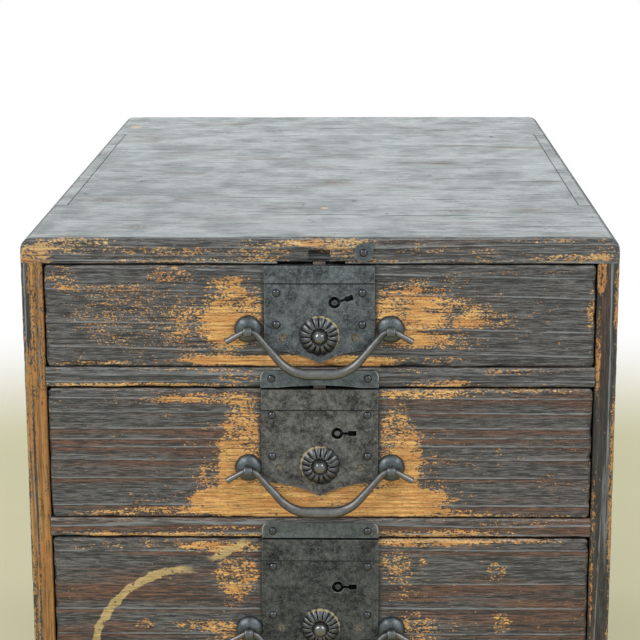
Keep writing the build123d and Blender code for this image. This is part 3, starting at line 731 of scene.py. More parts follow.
@dataclass(frozen=True)
class Iron:
    """Wrought iron blackened long ago.

    Attributes:
        name: the material's name.
        dark: the scale's colour.
        pale: its colour where it is rubbed.
        rust: how many brown specks it has.
        dust: how many pale specks it has.
        shine: how smooth it is.
        bright: how bright its edges are.
        rubbed: whether the mesh carries where hands have rubbed it.
        dented: the size of the hammer's dents in millimetres, and their depth.
        seed: a shift that makes one piece unlike another.
        scratches: thin bright lines.
        painted_shadows: painted shadow lines, such as the one under a plate's folded strip.
        crust: the colour of the old polish caked on it.
        worn: the colour of the iron where hands have rubbed it.
    """

    name: str
    dark: RGB = (0.045, 0.049, 0.053)
    pale: RGB = (0.125, 0.137, 0.145)
    rust: float = 0.35
    dust: float = 0.3
    shine: float = 0.45
    bright: float = 0.5
    rubbed: bool = False
    dented: tuple[float, float] = (5.0, 0.12)
    seed: float = 0.0
    scratches: tuple[Scratch, ...] = ()
    painted_shadows: tuple[Spot, ...] = ()
    crust: RGB = (0.40, 0.33, 0.19)
    worn: RGB = (0.20, 0.205, 0.21)

    def make(self) -> bpy.types.Material:
        """Lays the iron's nodes and returns the material."""
        paint, seed = Paint(self.name), self.seed
        size = self.dented[0]
        dents = paint.cloud((size, size, size), seed + 1.0, 1.0, 0.4)
        blotch = paint.cloud((8.0, 8.0, 8.0), seed + 2.0, 4.0, 0.62)
        scale = paint.cloud((0.75, 0.75, 0.75), seed + 3.0, 3.0, 0.62)
        specks = paint.cloud((0.55, 0.55, 0.55), seed + 4.0, 2.0, 0.6)
        blooms = paint.cloud((2.6, 2.6, 2.6), seed + 5.0, 4.0, 0.66)
        grit = scale.eased(0.40, 0.60)
        mixture = blotch.eased(0.36, 0.64) * 0.36 + blooms.eased(0.36, 0.64) * 0.34 + grit * 0.30
        colour = paint.mixed(mixture, self.dark, self.pale)
        colour = paint.mixed(specks.eased(0.60, 0.70) * self.rust, colour, (0.125, 0.078, 0.050))
        colour = paint.mixed(blooms.eased(0.58, 0.72) * self.rust * 0.55, colour, (0.085, 0.060, 0.044))
        dust = (scale.eased(0.58, 0.70) * blooms.eased(0.48, 0.66)) * self.dust
        colour = paint.mixed(dust, colour, (0.36, 0.34, 0.30))
        edge = paint.edge_sense(0.6).eased(0.01, 0.16) * scale.eased(0.28, 0.52)
        nook_shade = paint.nook_shade(1.6).eased(0.25, 0.85)
        colour = paint.mixed(edge * self.bright, colour, (0.30, 0.31, 0.32))
        metal = 0.90 - dust * 0.9 - blooms.eased(0.58, 0.72) * self.rust * 0.5
        rough = self.shine + scale * 0.20 + dust * 0.3 - edge * 0.12
        for scratch in self.scratches:
            line = scratch.field(paint)
            colour = paint.mixed(line * 0.8, colour, (0.34, 0.33, 0.31))
        if self.rubbed:
            rub = paint.attribute("rub")
            colour = paint.mixed(rub * (0.25 + scale * 0.5), colour, self.worn)
            rough = rough - rub * 0.10
            crust = (paint.attribute("crust") + blotch * 0.9 - 0.45).eased(0.28, 0.55)
            colour = paint.mixed(crust * 0.8, colour, self.crust)
            metal = metal * (1 - crust * 0.9)
            rough = rough + crust * 0.3
        # Painted shadow: near-black lines, such as under a plate's folded strip.
        for shade in self.painted_shadows:
            colour = paint.mixed(shade.field(paint) * 0.92, colour, (0.008, 0.008, 0.008))
        # Painted shade, meant also as grime: the iron turns near-black where it is shut in.
        colour = paint.mixed(nook_shade * 0.85, colour, (0.010, 0.009, 0.009))
        metal = metal * (1 - nook_shade * 0.8)
        height = dents * (self.dented[1] / 0.12) + scale * 0.16 + specks * 0.08 - dust * 0.1
        return paint.finish(colour, rough, height, 0.12, metallic=metal.most(0.0))


# ---- Meshes ----
def box_of(node: str) -> tuple[Vector, Vector]:
    """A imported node's lowest and highest corners in millimetres."""
    low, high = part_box(node)
    return low / MM, high / MM


def islands(node: str) -> list[tuple[Vector, Vector]]:
    """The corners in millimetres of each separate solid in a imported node, in a steady order."""
    mesh = bmesh.new()
    mesh.from_mesh(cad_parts[node].data)
    bmesh.ops.remove_doubles(mesh, verts=mesh.verts, dist=0.005 * MM)
    found, seen = [], set()
    for start in mesh.verts:
        if start in seen:
            continue
        group, waiting = [], [start]
        seen.add(start)
        while waiting:
            vert = waiting.pop()
            group.append(vert.co / MM)
            for edge in vert.link_edges:
                other = edge.other_vert(vert)
                if other not in seen:
                    seen.add(other)
                    waiting.append(other)
        low = Vector(min(co[i] for co in group) for i in range(3))
        high = Vector(max(co[i] for co in group) for i in range(3))
        found.append((low, high))
    mesh.free()
    return sorted(found, key=lambda pair: (round(pair[0].z, 2), round(pair[0].x, 2)))


OUTWARD = Matrix.Rotation(radians(90), 4, "X")


def facing(x: float, y: float, z: float) -> Matrix:
    """Takes a shape that rises along +z to a place on the front, where it stands out of it."""
    return Matrix.Translation((x, y, z)) @ OUTWARD


class Mesh:
    """A piece while it is shaped, in millimetres."""

    def __init__(self) -> None:
        """Starts empty."""
        self.bm = bmesh.new()
        self.layers: dict[str, Callable[[Vector], float]] = {}

    def joined(self, other: "Mesh") -> "Mesh":
        """Takes the other mesh's shapes in."""
        held = bpy.data.meshes.new("held")
        other.bm.to_mesh(held)
        self.bm.from_mesh(held)
        bpy.data.meshes.remove(held)
        other.bm.free()
        return self

    def moved(self, matrix: Matrix) -> "Mesh":
        """Moves the whole mesh."""
        bmesh.ops.transform(self.bm, matrix=matrix, verts=self.bm.verts)
        return self

    def nudged(self, move: Callable[[Vector], Vector]) -> "Mesh":
        """Moves each point to where the function says."""
        for vert in self.bm.verts:
            vert.co = move(vert.co)
        return self

    def cleaned(self) -> "Mesh":
        """Closes seams and points the faces outwards."""
        bmesh.ops.remove_doubles(self.bm, verts=self.bm.verts, dist=0.004)
        bmesh.ops.recalc_face_normals(self.bm, faces=self.bm.faces)
        return self

    def piece(
        self,
        name: str,
        material: bpy.types.Material,
        body: str,
        replaces: Iterable[str] = (),
        slot: str = "",
        crease: float = 35.0,
    ) -> bpy.types.Object:
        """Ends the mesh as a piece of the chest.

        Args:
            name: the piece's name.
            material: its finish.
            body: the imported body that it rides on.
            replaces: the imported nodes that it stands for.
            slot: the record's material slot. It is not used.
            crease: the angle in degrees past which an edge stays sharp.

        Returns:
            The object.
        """
        bmesh.ops.transform(self.bm, matrix=Matrix.Scale(MM, 4), verts=self.bm.verts)
        data = bpy.data.meshes.new(name)
        self.bm.to_mesh(data)
        self.bm.free()
        for layer, rule in self.layers.items():
            stored = data.attributes.new(layer, "FLOAT", "POINT")
            stored.data.foreach_set("value", [rule(vert.co / MM) for vert in data.vertices])
        data.polygons.foreach_set("use_smooth", [True] * len(data.polygons))
        data.set_sharp_from_angle(angle=radians(crease))
        data.materials.append(material)
        made = bpy.data.objects.new(name, data)
        bpy.context.scene.collection.objects.link(made)
        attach(made, body)
        if replaces:
            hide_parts(*replaces)
        LOG.info("%s: %d faces on %s", name, len(data.polygons), body)
        return made


def rubbed_by(rule: Callable[[Vector], float]) -> dict[str, Callable[[Vector], float]]:
    """The layers of a piece that hands have rubbed and that no old polish cakes."""
    return {"rub": lambda at: clamped(rule(at)), "crust": lambda at: 0.0}


def lathe(profile: Iterable[tuple[float, float]], steps: int = 32) -> Mesh:
    """Turns a profile round the z axis.

    Args:
        profile: radii and heights, from one end to the other.
        steps: the number of facets round.

    Returns:
        The turned mesh.
    """
    mesh = Mesh()
    verts = [mesh.bm.verts.new((radius, 0.0, height)) for radius, height in profile]
    edges = [mesh.bm.edges.new(pair) for pair in zip(verts, verts[1:])]
    bmesh.ops.spin(
        mesh.bm, geom=[*verts, *edges], cent=(0, 0, 0), axis=(0, 0, 1), angle=2 * pi, steps=steps,
        use_merge=True,
    )
    return mesh.cleaned()


def swept(stations: list[tuple[Matrix, float]], sides: int = 16, square: float = 0.0) -> Mesh:
    """Draws a round bar through stations.

    Args:
        stations: where each section lies (its z axis along the bar) and its radius.
        sides: the number of facets round.
        square: how far the section leans towards a square.

    Returns:
        The bar, with its ends rounded over.
    """
    mesh = Mesh()
    ring = bmesh.ops.create_circle(mesh.bm, cap_ends=False, segments=sides, radius=1.0)["verts"]
    for vert in ring:
        vert.co *= 1.0 + square * cos(4 * atan2(vert.co.y, vert.co.x))
    edges = list(mesh.bm.edges)
    frames = [matrix @ Matrix.Scale(radius, 4) for matrix, radius in stations]
    bmesh.ops.transform(mesh.bm, matrix=frames[0], verts=ring)
    for before, after in zip(frames, frames[1:]):
        grown = bmesh.ops.extrude_edge_only(mesh.bm, edges=edges)["geom"]
        edges = [item for item in grown if isinstance(item, bmesh.types.BMEdge)]
        verts = [item for item in grown if isinstance(item, bmesh.types.BMVert)]
        bmesh.ops.transform(mesh.bm, matrix=after @ before.inverted(), verts=verts)
    open_edges = [edge for edge in mesh.bm.edges if edge.is_boundary]
    caps = bmesh.ops.holes_fill(mesh.bm, edges=open_edges, sides=0)["faces"]
    bmesh.ops.recalc_face_normals(mesh.bm, faces=mesh.bm.faces)
    rims = list({edge for face in caps for edge in face.edges})
    bmesh.ops.bevel(
        mesh.bm, geom=rims, offset=0.35 * min(radius for _, radius in stations), segments=3, profile=0.5,
        affect="EDGES", material=-1,
    )
    return mesh


def slab(low: Triple, high: Triple, round_by: float = 0.3) -> Mesh:
    """A block between two corners with its edges rounded."""
    mesh = Mesh()
    bmesh.ops.create_cube(mesh.bm, size=1.0)
    size = Vector(high) - Vector(low)
    bmesh.ops.scale(mesh.bm, vec=size, verts=mesh.bm.verts)
    bmesh.ops.translate(mesh.bm, vec=(Vector(high) + Vector(low)) / 2, verts=mesh.bm.verts)
    bmesh.ops.bevel(
        mesh.bm, geom=mesh.bm.edges, offset=round_by, segments=2, profile=0.5, affect="EDGES", material=-1
    )
    return mesh


def cut_copy(node: str, cuts: tuple[Iterable[float], Iterable[float], Iterable[float]]) -> Mesh:
    """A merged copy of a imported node, its faces divided by planes so that they can be worn.

    Args:
        node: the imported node.
        cuts: the planes' places along x, y and z, in millimetres.

    Returns:
        The copy, in millimetres.
    """
    mesh = Mesh()
    bm = mesh.bm
    bm.from_mesh(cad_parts[node].data)
    bmesh.ops.transform(bm, matrix=Matrix.Scale(1 / MM, 4), verts=bm.verts)
    bmesh.ops.remove_doubles(bm, verts=bm.verts, dist=0.003)
    bmesh.ops.dissolve_limit(
        bm, angle_limit=radians(0.6), use_dissolve_boundaries=False, verts=bm.verts, edges=bm.edges
    )
    for axis, places in enumerate(cuts):
        normal = Vector((0, 0, 0))
        normal[axis] = 1.0
        for place in places:
            bmesh.ops.bisect_plane(
                bm, geom=[*bm.verts, *bm.edges, *bm.faces], dist=0.002, plane_co=normal * place, plane_no=normal
            )
    return mesh


def steps_between(low: float, high: float, gap: float, fine: Iterable[float] = ()) -> list[float]:
    """Places between two ends: even ones, and finer ones near both ends.

    Args:
        low: one end.
        high: the other end.
        gap: the space between the even ones.
        fine: distances in from each end.

    Returns:
        The places in order.
    """
    count = max(1, round((high - low) / gap))
    even = [low + (high - low) * i / count for i in range(1, count)]
    near = [low + step for step in fine] + [high - step for step in fine]
    kept = [place for place in even if all(abs(place - other) > gap * 0.3 for other in near)]
    return sorted([*kept, *near])


@dataclass(frozen=True)
class Wear:
    """How a block's faces and edges have been worn.

    The moves depend on the place alone, so that joints stay closed.

    Attributes:
        low: the block's lowest corner.
        high: its highest corner.
        grain: the way that the fibres run.
        front_only: whether only the front and its edges are worn.
        reach: how far in from a face its wear goes.
        chip: how deep the edges are knocked back.
        wave: how far the faces swell and sink.
        seed: a shift that makes one block unlike another.
    """

    low: Vector
    high: Vector
    grain: Grain
    front_only: bool = False
    reach: float = 3.0
    chip: float = 1.3
    wave: float = 0.12
    seed: float = 0.0

    def nearness(self, place: Vector) -> list[tuple[float, float]]:
        """For each axis, which way the nearest face lies and how near it is."""
        near = []
        for axis in range(3):
            down, up = place[axis] - self.low[axis], self.high[axis] - place[axis]
            side = -1.0 if down < up or (self.front_only and axis == 1) else 1.0
            gap = down if side < 0 else up
            near.append((side, clamped(1.0 - gap / self.reach)))
        return near

    def __call__(self, place: Vector) -> Vector:
        """Where a point of the block goes."""
        near = self.nearness(place)
        if self.front_only and near[1][1] == 0.0:
            return place
        size = self.grain.size(16.0, 5.0)
        shift = Vector((self.seed * 3.7, self.seed, -self.seed * 2.1))
        at = Vector(place[i] / size[i] for i in range(3)) + shift
        rough = noise.fractal(at, 0.8, 2.1, 3)
        edge = max(near[0][1] * near[1][1], near[1][1] * near[2][1], near[0][1] * near[2][1])
        loss = edge * (0.10 + self.chip * max(0.0, rough + 0.08) ** 1.4)
        size = self.grain.size(70.0, 18.0)
        slow = Vector(place[i] / size[i] for i in range(3)) + Vector((self.seed, 3.0, 1.0))
        swell = self.wave * (noise.noise(slow) - 0.4)
        moved = place.copy()
        for axis, (side, share) in enumerate(near):
            if share > 0:
                moved[axis] -= side * share * (loss - swell * (share > 0.95) * (edge < 0.5))
        return moved


def worn_board(
    node: str,
    body: str,
    finish: bpy.types.Material,
    wear: Callable[[Vector], Vector],
    cuts: tuple[Iterable[float], Iterable[float], Iterable[float]],
    slot: str,
) -> None:
    """Puts a worn copy in a packed board's place.

    Args:
        node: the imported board.
        body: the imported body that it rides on.
        finish: its wood.
        wear: where each of its points goes.
        cuts: the planes that divide its faces, along x, y and z.
        slot: the record's material slot.
    """
    cut_copy(node, cuts).nudged(wear).piece(f"{node}_worn", finish, body, (node,), slot)


# ---- The case ----
@dataclass
class Case:
    """The carcass: five boards, three dividers and pegs. Its keepers and their nails are dressed in main."""

    fine: tuple[float, ...] = (0.6, 1.3, 2.2, 3.4, 5.0)
    joint: float = 139.0
    finger_middle: float = 94.0
    finger_half: float = 47.0
    seam: float = 0.42
    top_z: float = 360.0
    polish_depth: float = 1.0
    edge_chip: float = 1.9
    nodes: tuple[str, ...] = ("top_board", "bottom_board", "left_side_board", "right_side_board")

    def __post_init__(self) -> None:
        """Finds the case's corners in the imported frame."""
        boxes = [box_of(node) for node in self.nodes]
        self.low = Vector(min(low[i] for low, _ in boxes) for i in range(3))
        self.high = Vector(max(high[i] for _, high in boxes) for i in range(3))

    def joint_lines(self, paint: Paint) -> Value:
        """The lines where the side boards' fingers come through the top and the bottom."""
        side = abs(paint.x)
        waver = (paint.cloud((6.0, 6.0, 6.0), 3.3, 2.0) - 0.5) * 0.5
        seam = abs(side - self.joint + waver).eased(self.seam, 0.12)
        off_middle = abs(paint.y) - self.finger_middle
        in_fingers = (off_middle + waver * 2).eased(self.finger_half + 0.4, self.finger_half)
        on_flat = abs(paint.z - self.top_z / 2).eased(172.0, 178.0)
        ends = abs(off_middle) - self.finger_half + waver
        crossing = abs(ends).eased(self.seam, 0.12) * (side - self.joint).eased(-0.2, 0.2)
        return (seam * in_fingers).most(crossing) * on_flat

    def board_finish(self, name: str, spots: tuple[Spot, ...], **looks: Any) -> bpy.types.Material:
        """A case board's wood, with its joints and the top's polish.

        Args:
            name: the material's name.
            spots: where its stain is rubbed away.
            looks: what else sets this board apart.

        Returns:
            The material.
        """
        return StainedWood(
            name, tuple(self.low), tuple(self.high), spots=spots, cuts=self.joint_lines,
            polish_above=self.top_z - self.polish_depth, **looks,
        ).make()

    def top_finish(self) -> bpy.types.Material:
        """The top board's wood, rubbed bare in blotches along its front."""
        spots = face_spots(
            (-122, 356, 30, 6, 0.75), (-142, 350, 12, 11, 0.95), (-80, 353, 34, 4, 0.65), (-33, 352, 26, 5, 0.65),
            (-25, 357, 30, 2.5, 0.6), (8, 357, 36, 3.5, 0.95), (10, 352, 18, 4.5, 0.75), (52, 354, 22, 4, 0.5),
            (82, 352, 14, 3.5, 0.55), (124, 349.5, 30, 3.2, 0.8), (141, 353, 9, 8, 0.6),
            (112, 358.5, 26, 1.8, 0.5), (-55, 348.2, 60, 1.6, 0.7), (60, 348.0, 80, 1.5, 0.6),
            (-100, 348.0, 30, 1.5, 0.4),
        )
        knocks = (
            Spot((1.6, -149.4, 360), (3.2, 4.5, 6), 1.6), Spot((-135.4, 179.2, 360), (7, 9, 6), 1.5),
            Spot((-16.4, -176.7, 360), (4.5, 3.5, 6), 0.8), Spot((-93, -205, 360), (22, 5, 6), 0.55),
        )
        return self.board_finish(
            "case_top_wood", spots + knocks, layers=(0.0, 0.30, 1.0), brown=0.30, rub=0.62, seed=2.0, ring=4.6,
            gloss=0.40, hold=0.31, bare=(0.50, 0.285, 0.110), pale=(0.72, 0.49, 0.22), arris=0.25,
        )

    def side_finishes(self) -> tuple[bpy.types.Material, bpy.types.Material]:
        """The side boards' woods: the left one's front edge is bare, the right one's only at its corners."""
        upright = {"grain": Grain.UPRIGHT, "layers": (1.0, 0.8, 0.0), "arris": 0.0}
        left = face_spots(
            (-142, 300, 8, 85, 1.35, 0.4), (-142, 200, 8, 80, 1.5, 0.4), (-142, 90, 8, 100, 1.4, 0.4),
            (-148.5, 250, 2.4, 70, 0.9), (-149, 120, 3, 90, 0.7), (-145.7, 235, 0.9, 60, -2.0),
            (-147, 318, 2.0, 20, -1.3), (-145.5, 130, 1.0, 60, -1.6),
        )
        right = face_spots(
            (141, 340, 4, 14, 1.1), (140.3, 300, 1.9, 34, 1.1), (149, 330, 2.4, 28, 0.9),
            (149, 230, 2.6, 70, 1.1), (139.8, 190, 1.8, 70, 0.9), (149.2, 100, 2.4, 90, 1.1),
        )
        return (
            self.board_finish(
                "case_left_wood", left, brown=0.5, rub=0.75, seed=5.0, ring=5.4, gloss=0.40,
                bare=(0.28, 0.130, 0.030), pale=(0.42, 0.225, 0.062), grey=(0.070, 0.058, 0.044),
                dark=(0.016, 0.014, 0.012), **upright,
            ),
            self.board_finish(
                "case_right_wood", right, brown=0.35, rub=0.52, seed=9.0, ring=5.0, gloss=0.44,
                bare=(0.40, 0.18, 0.048), pale=(0.54, 0.30, 0.09), grey=(0.042, 0.038, 0.032),
                dark=(0.014, 0.013, 0.011), **upright,
            ),
        )

    def build(self) -> None:
        """Builds the boards and dresses the rest."""
        wear = Wear(self.low, self.high, Grain.ACROSS, seed=1.0, chip=self.edge_chip)
        top = self.top_finish()
        for node in ("top_board", "bottom_board"):
            low, high = box_of(node)
            cuts = (
                steps_between(low.x, high.x, 2.4, self.fine[:4]),
                steps_between(low.y, high.y, 6.0, self.fine),
                steps_between(low.z, high.z, 3.0, (1.0, 2.2)),
            )
            worn_board(node, "case", top, wear, cuts, "case_wood")
        for node, finish in zip(("left_side_board", "right_side_board"), self.side_finishes()):
            low, high = box_of(node)
            cuts = (
                steps_between(low.x, high.x, 3.0, (0.7, 1.6, 2.8)),
                steps_between(low.y, high.y, 8.0, self.fine),
                steps_between(low.z, high.z, 2.4, self.fine[:4]),
            )
            worn_board(node, "case", finish, wear, cuts, "case_wood")
        self.dividers()
        back = PlainWood("back_wood", Grain.ACROSS, 3.0, (0.30, 0.185, 0.095), (0.15, 0.085, 0.042))
        pegs = PlainWood("peg_wood", Grain.DEEP, 6.0, (0.40, 0.24, 0.11), (0.20, 0.10, 0.045))
        dress("back_board", back.make())
        dress("case_pegs", pegs.make())
        LOG.info("back board and pegs dressed")

    def dividers(self) -> None:
        """Builds the three dividers."""
        rails = (
            (0.2, face_spots(
                (-95, 284, 70, 2.6, 0.95), (-40, 288, 16, 5, 0.75), (-60, 291.5, 40, 2, 0.5),
                (60, 285, 26, 3.6, 1.0), (100, 291, 30, 2.2, 0.6), (48, 290, 14, 3, 0.5),
            )),
            (0.95, face_spots(
                (-70, 204, 70, 2.4, 1.0), (-50, 208, 34, 2.2, 0.8), (60, 205, 60, 3.2, 0.9),
                (-120, 205, 20, 3, 0.7), (100, 210, 40, 2.0, 0.5),
            )),
            (0.8, face_spots((-50, 112, 90, 2.6, 0.9), (70, 113, 70, 3.0, 0.8))),
        )
        for number, (brown, spots) in enumerate(rails, start=1):
            node = f"divider_{number}"
            low, high = box_of(node)
            finish = StainedWood(
                f"{node}_wood", tuple(low), tuple(high), spots=spots, brown=brown, rub=0.42,
                seed=11.0 + number * 3, ring=4.0, gloss=0.42, layers=(0.0, 0.3, 0.85),
            ).make()
            cuts = (
                steps_between(low.x, high.x, 2.6), (low.y + 0.7, low.y + 1.5, low.y + 2.5, low.y + 4.0),
                steps_between(low.z, high.z, 2.2, (0.6, 1.3)),
            )
            wear = Wear(low, high, Grain.ACROSS, True, 2.4, 1.1, 0.05, 20.0 + number)
            worn_board(node, "case", finish, wear, cuts, "case_wood")


def dress(node: str, material: bpy.types.Material) -> None:
    """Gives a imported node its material."""
    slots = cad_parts[node].material_slots
    if not slots:
        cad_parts[node].data.materials.append(material)
        return
    for slot in slots:
        slot.link = "OBJECT"
        slot.material = material


# ---- The drawers ----
@dataclass(frozen=True)
class DrawerLook:
    """What one drawer's front looks like.

    Attributes:
        number: the drawer's number from the top.
        spots: where its stain is rubbed away.
        brown: how brown the stain is.
        plate: its lock plate's finish.
        scuffs: pale scuffs.
        button_round: how round its button is, from a cone to a ball.
        chased: how finely its rosette is cut.
        tilt: the angle in degrees by which its rosette sits turned.
        crust_at: the direction in degrees where old polish has caked on its rim.
        speckled: places where only small specks of the stain are rubbed away.
        ring: the space between the raised rings, where their levels aren't given.
        rings: the levels of its yearly rings.
        slope: how far the rings fall from left to right.
        nicked: how many small slanting knocks have bared it.
        holes: how far its plate's spare holes lie from the middle and below the top.
        petals: the number of petals on its rosette.
    """

    number: int
    spots: tuple[Spot, ...]
    brown: float
    plate: Iron
    scuffs: tuple[Scuff, ...] = ()
    button_round: float = 0.5
    chased: float = 0.5
    tilt: float = 0.0
    crust_at: float = 50.0
    speckled: tuple[Spot, ...] = ()
    ring: float = 6.6
    rings: tuple[float, ...] = ()
    slope: float = 0.0
    nicked: float = 0.10
    holes: tuple[float, float] = (20.1, 48.6)
    petals: int = 16

    @property
    def seed(self) -> float:
        """A shift that makes the drawer unlike the others."""
        return 11.0 + 10.0 * self.number


@dataclass
class Drawer:
    """One drawer with its wood, lock and handle."""

    look: DrawerLook
    irons: "Irons"
    post_reach: float = 7.0
    boss_radius: float = 6.5
    washer_radius: float = 7.2
    boss_height: float = 4.2
    eye_radius: float = 1.9
    eye_wall: float = 0.8
    eye_width: float = 4.3
    leg_thickness: float = 0.8
    prong_length: float = 7.0
    button_travel: float = 2.0

    def __post_init__(self) -> None:
        """Takes the drawer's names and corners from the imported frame."""
        self.name = f"drawer_{self.look.number}"
        self.low, self.high = box_of(f"{self.name}_front")
        self.plate_low, self.plate_high = box_of(f"{self.name}_lock_plate")

    def build(self) -> None:
        """Builds and dresses every piece of the drawer."""
        self.front()
        self.inside()
        self.lock()
        self.rosette()
        self.button()
        self.nails()
        self.handle()
        self.mounts()

    def front(self) -> None:
        """The worn front."""
        look, low, high = self.look, self.low, self.high
        beside, middle = self.plate_high.x + 0.2, (self.plate_low.z + self.plate_high.z) / 2
        up = (self.plate_high.z - self.plate_low.z) / 2
        # Painted shade with grime: dark bands along both sides of the lock plate.
        dirt = tuple(Spot((side * beside, low.y, middle), (2.4, 9.0, up * 1.25), 0.9, 0.8) for side in (-1, 1))
        finish = StainedWood(
            f"{self.name}_wood", tuple(low), (high.x, high.y + 40.0, high.z), spots=look.spots,
            brown=look.brown, seed=look.seed, ring=look.ring, scuffs=look.scuffs, dirt=dirt,
            speckled=look.speckled, rings=look.rings, layers=(look.slope, 0.0, 1.0), nicked=look.nicked,
        ).make()
        fine = (0.5, 1.1, 1.9, 3.0, 4.4)
        cuts = (
            steps_between(low.x, high.x, 2.4, fine), (low.y + 0.6, low.y + 1.3, low.y + 2.2, low.y + 3.4),
            steps_between(low.z, high.z, 3.0, fine),
        )
        wear = Wear(low, high, Grain.ACROSS, True, 3.2, 1.7, 0.10, look.seed)
        worn_board(f"{self.name}_front", self.name, finish, wear, cuts, "drawer_wood")

    def inside(self) -> None:
        """The unstained sides, back and bottom."""
        for part, grain in (("sides", Grain.DEEP), ("back", Grain.ACROSS), ("bottom", Grain.DEEP)):
            node = f"{self.name}_{part}"
            dress(node, PlainWood(f"{node}_wood", grain, self.look.seed + 1.0).make())

    def lock(self) -> None:
        """The plate, the case behind it, the bolt, and the dirt in the plate's spare holes."""
        plate = self.look.plate.make()
        dress(f"{self.name}_lock_plate", plate)
        dress(f"{self.name}_lock_case", plate)
        dress(f"{self.name}_lock_bolt", self.irons.bolt)
        mesh = Mesh()
        across, drop = self.look.holes
        for side in (-1, 1):
            cup = [(0.0, 0.0), (2.27, 0.0), (2.27, 0.62), (1.5, 0.50), (0.0, 0.42)]
            mesh.joined(lathe(cup, 24).moved(facing(side * across, self.low.y, self.high.z - drop)))
        mesh.piece(f"{self.name}_hole_dirt", self.irons.dirt, self.name)

    def rosette(self) -> None:
        """The petalled rosette round the button."""
        low, high = box_of(f"{self.name}_rosette")
        radius, rise = (high.x - low.x) / 2, high.y - low.y
        petals, share = self.look.petals, self.look.chased
        profile = [
            (1.0, 0.0), (1.0, 0.13), (0.985, 0.26), (0.94, 0.40), (0.87, 0.56), (0.79, 0.70), (0.71, 0.83),
            (0.63, 0.93), (0.56, 0.98), (0.50, 1.0), (0.45, 1.0), (0.41, 0.96), (0.385, 0.84), (0.38, 0.0),
        ]
        mesh = Mesh()
        bmesh.ops.create_circle(mesh.bm, cap_ends=False, segments=petals * 14, radius=radius)
        edges, previous = list(mesh.bm.edges), profile[0]
        for r, h in profile[1:]:
            grown = bmesh.ops.extrude_edge_only(mesh.bm, edges=edges)["geom"]
            edges = [item for item in grown if isinstance(item, bmesh.types.BMEdge)]
            verts = [item for item in grown if isinstance(item, bmesh.types.BMVert)]
            grow = r / previous[0]
            bmesh.ops.scale(mesh.bm, vec=(grow, grow, 1.0), verts=verts)
            bmesh.ops.translate(mesh.bm, vec=(0, 0, (h - previous[1]) * rise), verts=verts)
            previous = (r, h)
        seed = self.look.seed

        def chase(place: Vector) -> Vector:
            """Cuts the petals: a gouge between two, a scalloped rim, and a hand's unevenness."""
            away = hypot(place.x, place.y) / radius
            angle = atan2(place.y, place.x)
            uneven = 0.10 * noise.noise(Vector((cos(angle) * 3, sin(angle) * 3, seed)))
            lobe = abs(sin(petals * (angle + uneven) / 2))
            gouge = max(0.0, 1.0 - lobe / 0.42)
            reach = clamped((away - 0.42) / 0.12) * (1.0 if away < 0.97 else 0.8)
            lift = place.z / rise
            belly = 0.16 * (lobe - 0.6) * reach
            place = place.copy()
            place.z += rise * lift * (belly - (0.26 + 0.08 * share) * gouge**1.3 * reach)
            shrink = 1.0 - (0.055 * (1 - lobe) ** 1.5 if away > 0.80 else 0.0)
            wobble = 1.0 + 0.012 * noise.noise(Vector((cos(angle) * 2, sin(angle) * 2, seed + 4)))
            place.x *= shrink * wobble
            place.y *= shrink * wobble
            return place

        centre = (low + high) / 2
        mesh.nudged(chase).cleaned()
        mesh.layers = {
            "rub": lambda at: clamped((high.y - at.y) / rise - 0.35) * 0.9,
            "crust": lambda at: clamped(hypot(at.x - centre.x, at.z - centre.z) / radius * 5.2 - 4.3)
            * (0.5 + 0.5 * cos(atan2(at.z - centre.z, at.x - centre.x) - radians(self.look.crust_at))),
        }
        mesh.moved(facing(centre.x, high.y, centre.z) @ Matrix.Rotation(radians(self.look.tilt), 4, "Z"))
        mesh.piece(f"{self.name}_rosette_chased", self.irons.rosette, self.name, (f"{self.name}_rosette",),
                   "rosette_iron", 50.0)

    def button(self) -> None:
        """The button: a worn, faceted knob with a waist and a stem."""
        low, high = box_of(f"{self.name}_button")
        radius = (high.x - low.x) / 2 * 0.99
        centre = (low + high) / 2
        tall = self.plate_low.y - low.y
        stem = high.y - self.plate_low.y
        ball = self.look.button_round
        under = self.button_travel + 0.25
        skirt = max(tall * 0.44, under + 0.7)
        profile = [(0.0, -stem), (1.5, -stem), (1.5, under), (radius * 0.93, under), (radius, under + 0.35),
                   (radius * 0.985, skirt)]
        for i in range(1, 10):
            angle = i / 10 * pi / 2
            flat = cos(angle) ** (1.0 - 0.35 * ball)
            profile.append((radius * 0.985 * flat, skirt + (tall - skirt) * sin(angle)))
        profile.append((0.0, tall))
        mesh = lathe(profile, 28)
        seed = self.look.seed

        def hammered(place: Vector) -> Vector:
            """Gives the knob its facets."""
            if place.z < under - 0.1:
                return place
            angle = atan2(place.y, place.x)
            facet = cos(6 * angle + seed) * 0.035 + 0.06 * noise.noise(place * 0.45 + Vector((seed, 0, 0)))
            share = min(1.0, (place.z - under + 0.1) / (tall * 0.4)) * (1.0 - ball * 0.6)
            place = place.copy()
            place.x *= 1.0 + (facet - 0.03) * share
            place.y *= 1.0 + (facet - 0.03) * share
            return place

        mesh.nudged(hammered)
        front = self.plate_low.y
        mesh.layers = rubbed_by(lambda at: (front - at.y) / tall * 1.6 - 0.55)
        mesh.moved(facing(centre.x, self.plate_low.y, centre.z))
        mesh.piece(f"{self.name}_button_worn", self.irons.button, f"button_{self.look.number}",
                   (f"{self.name}_button",), "rosette_iron", 50.0)

    def nails(self) -> None:
        """The plate's four domed nails."""
        domed_nails(f"{self.name}_plate_nails", self.name, self.irons.nail, self.look.seed)

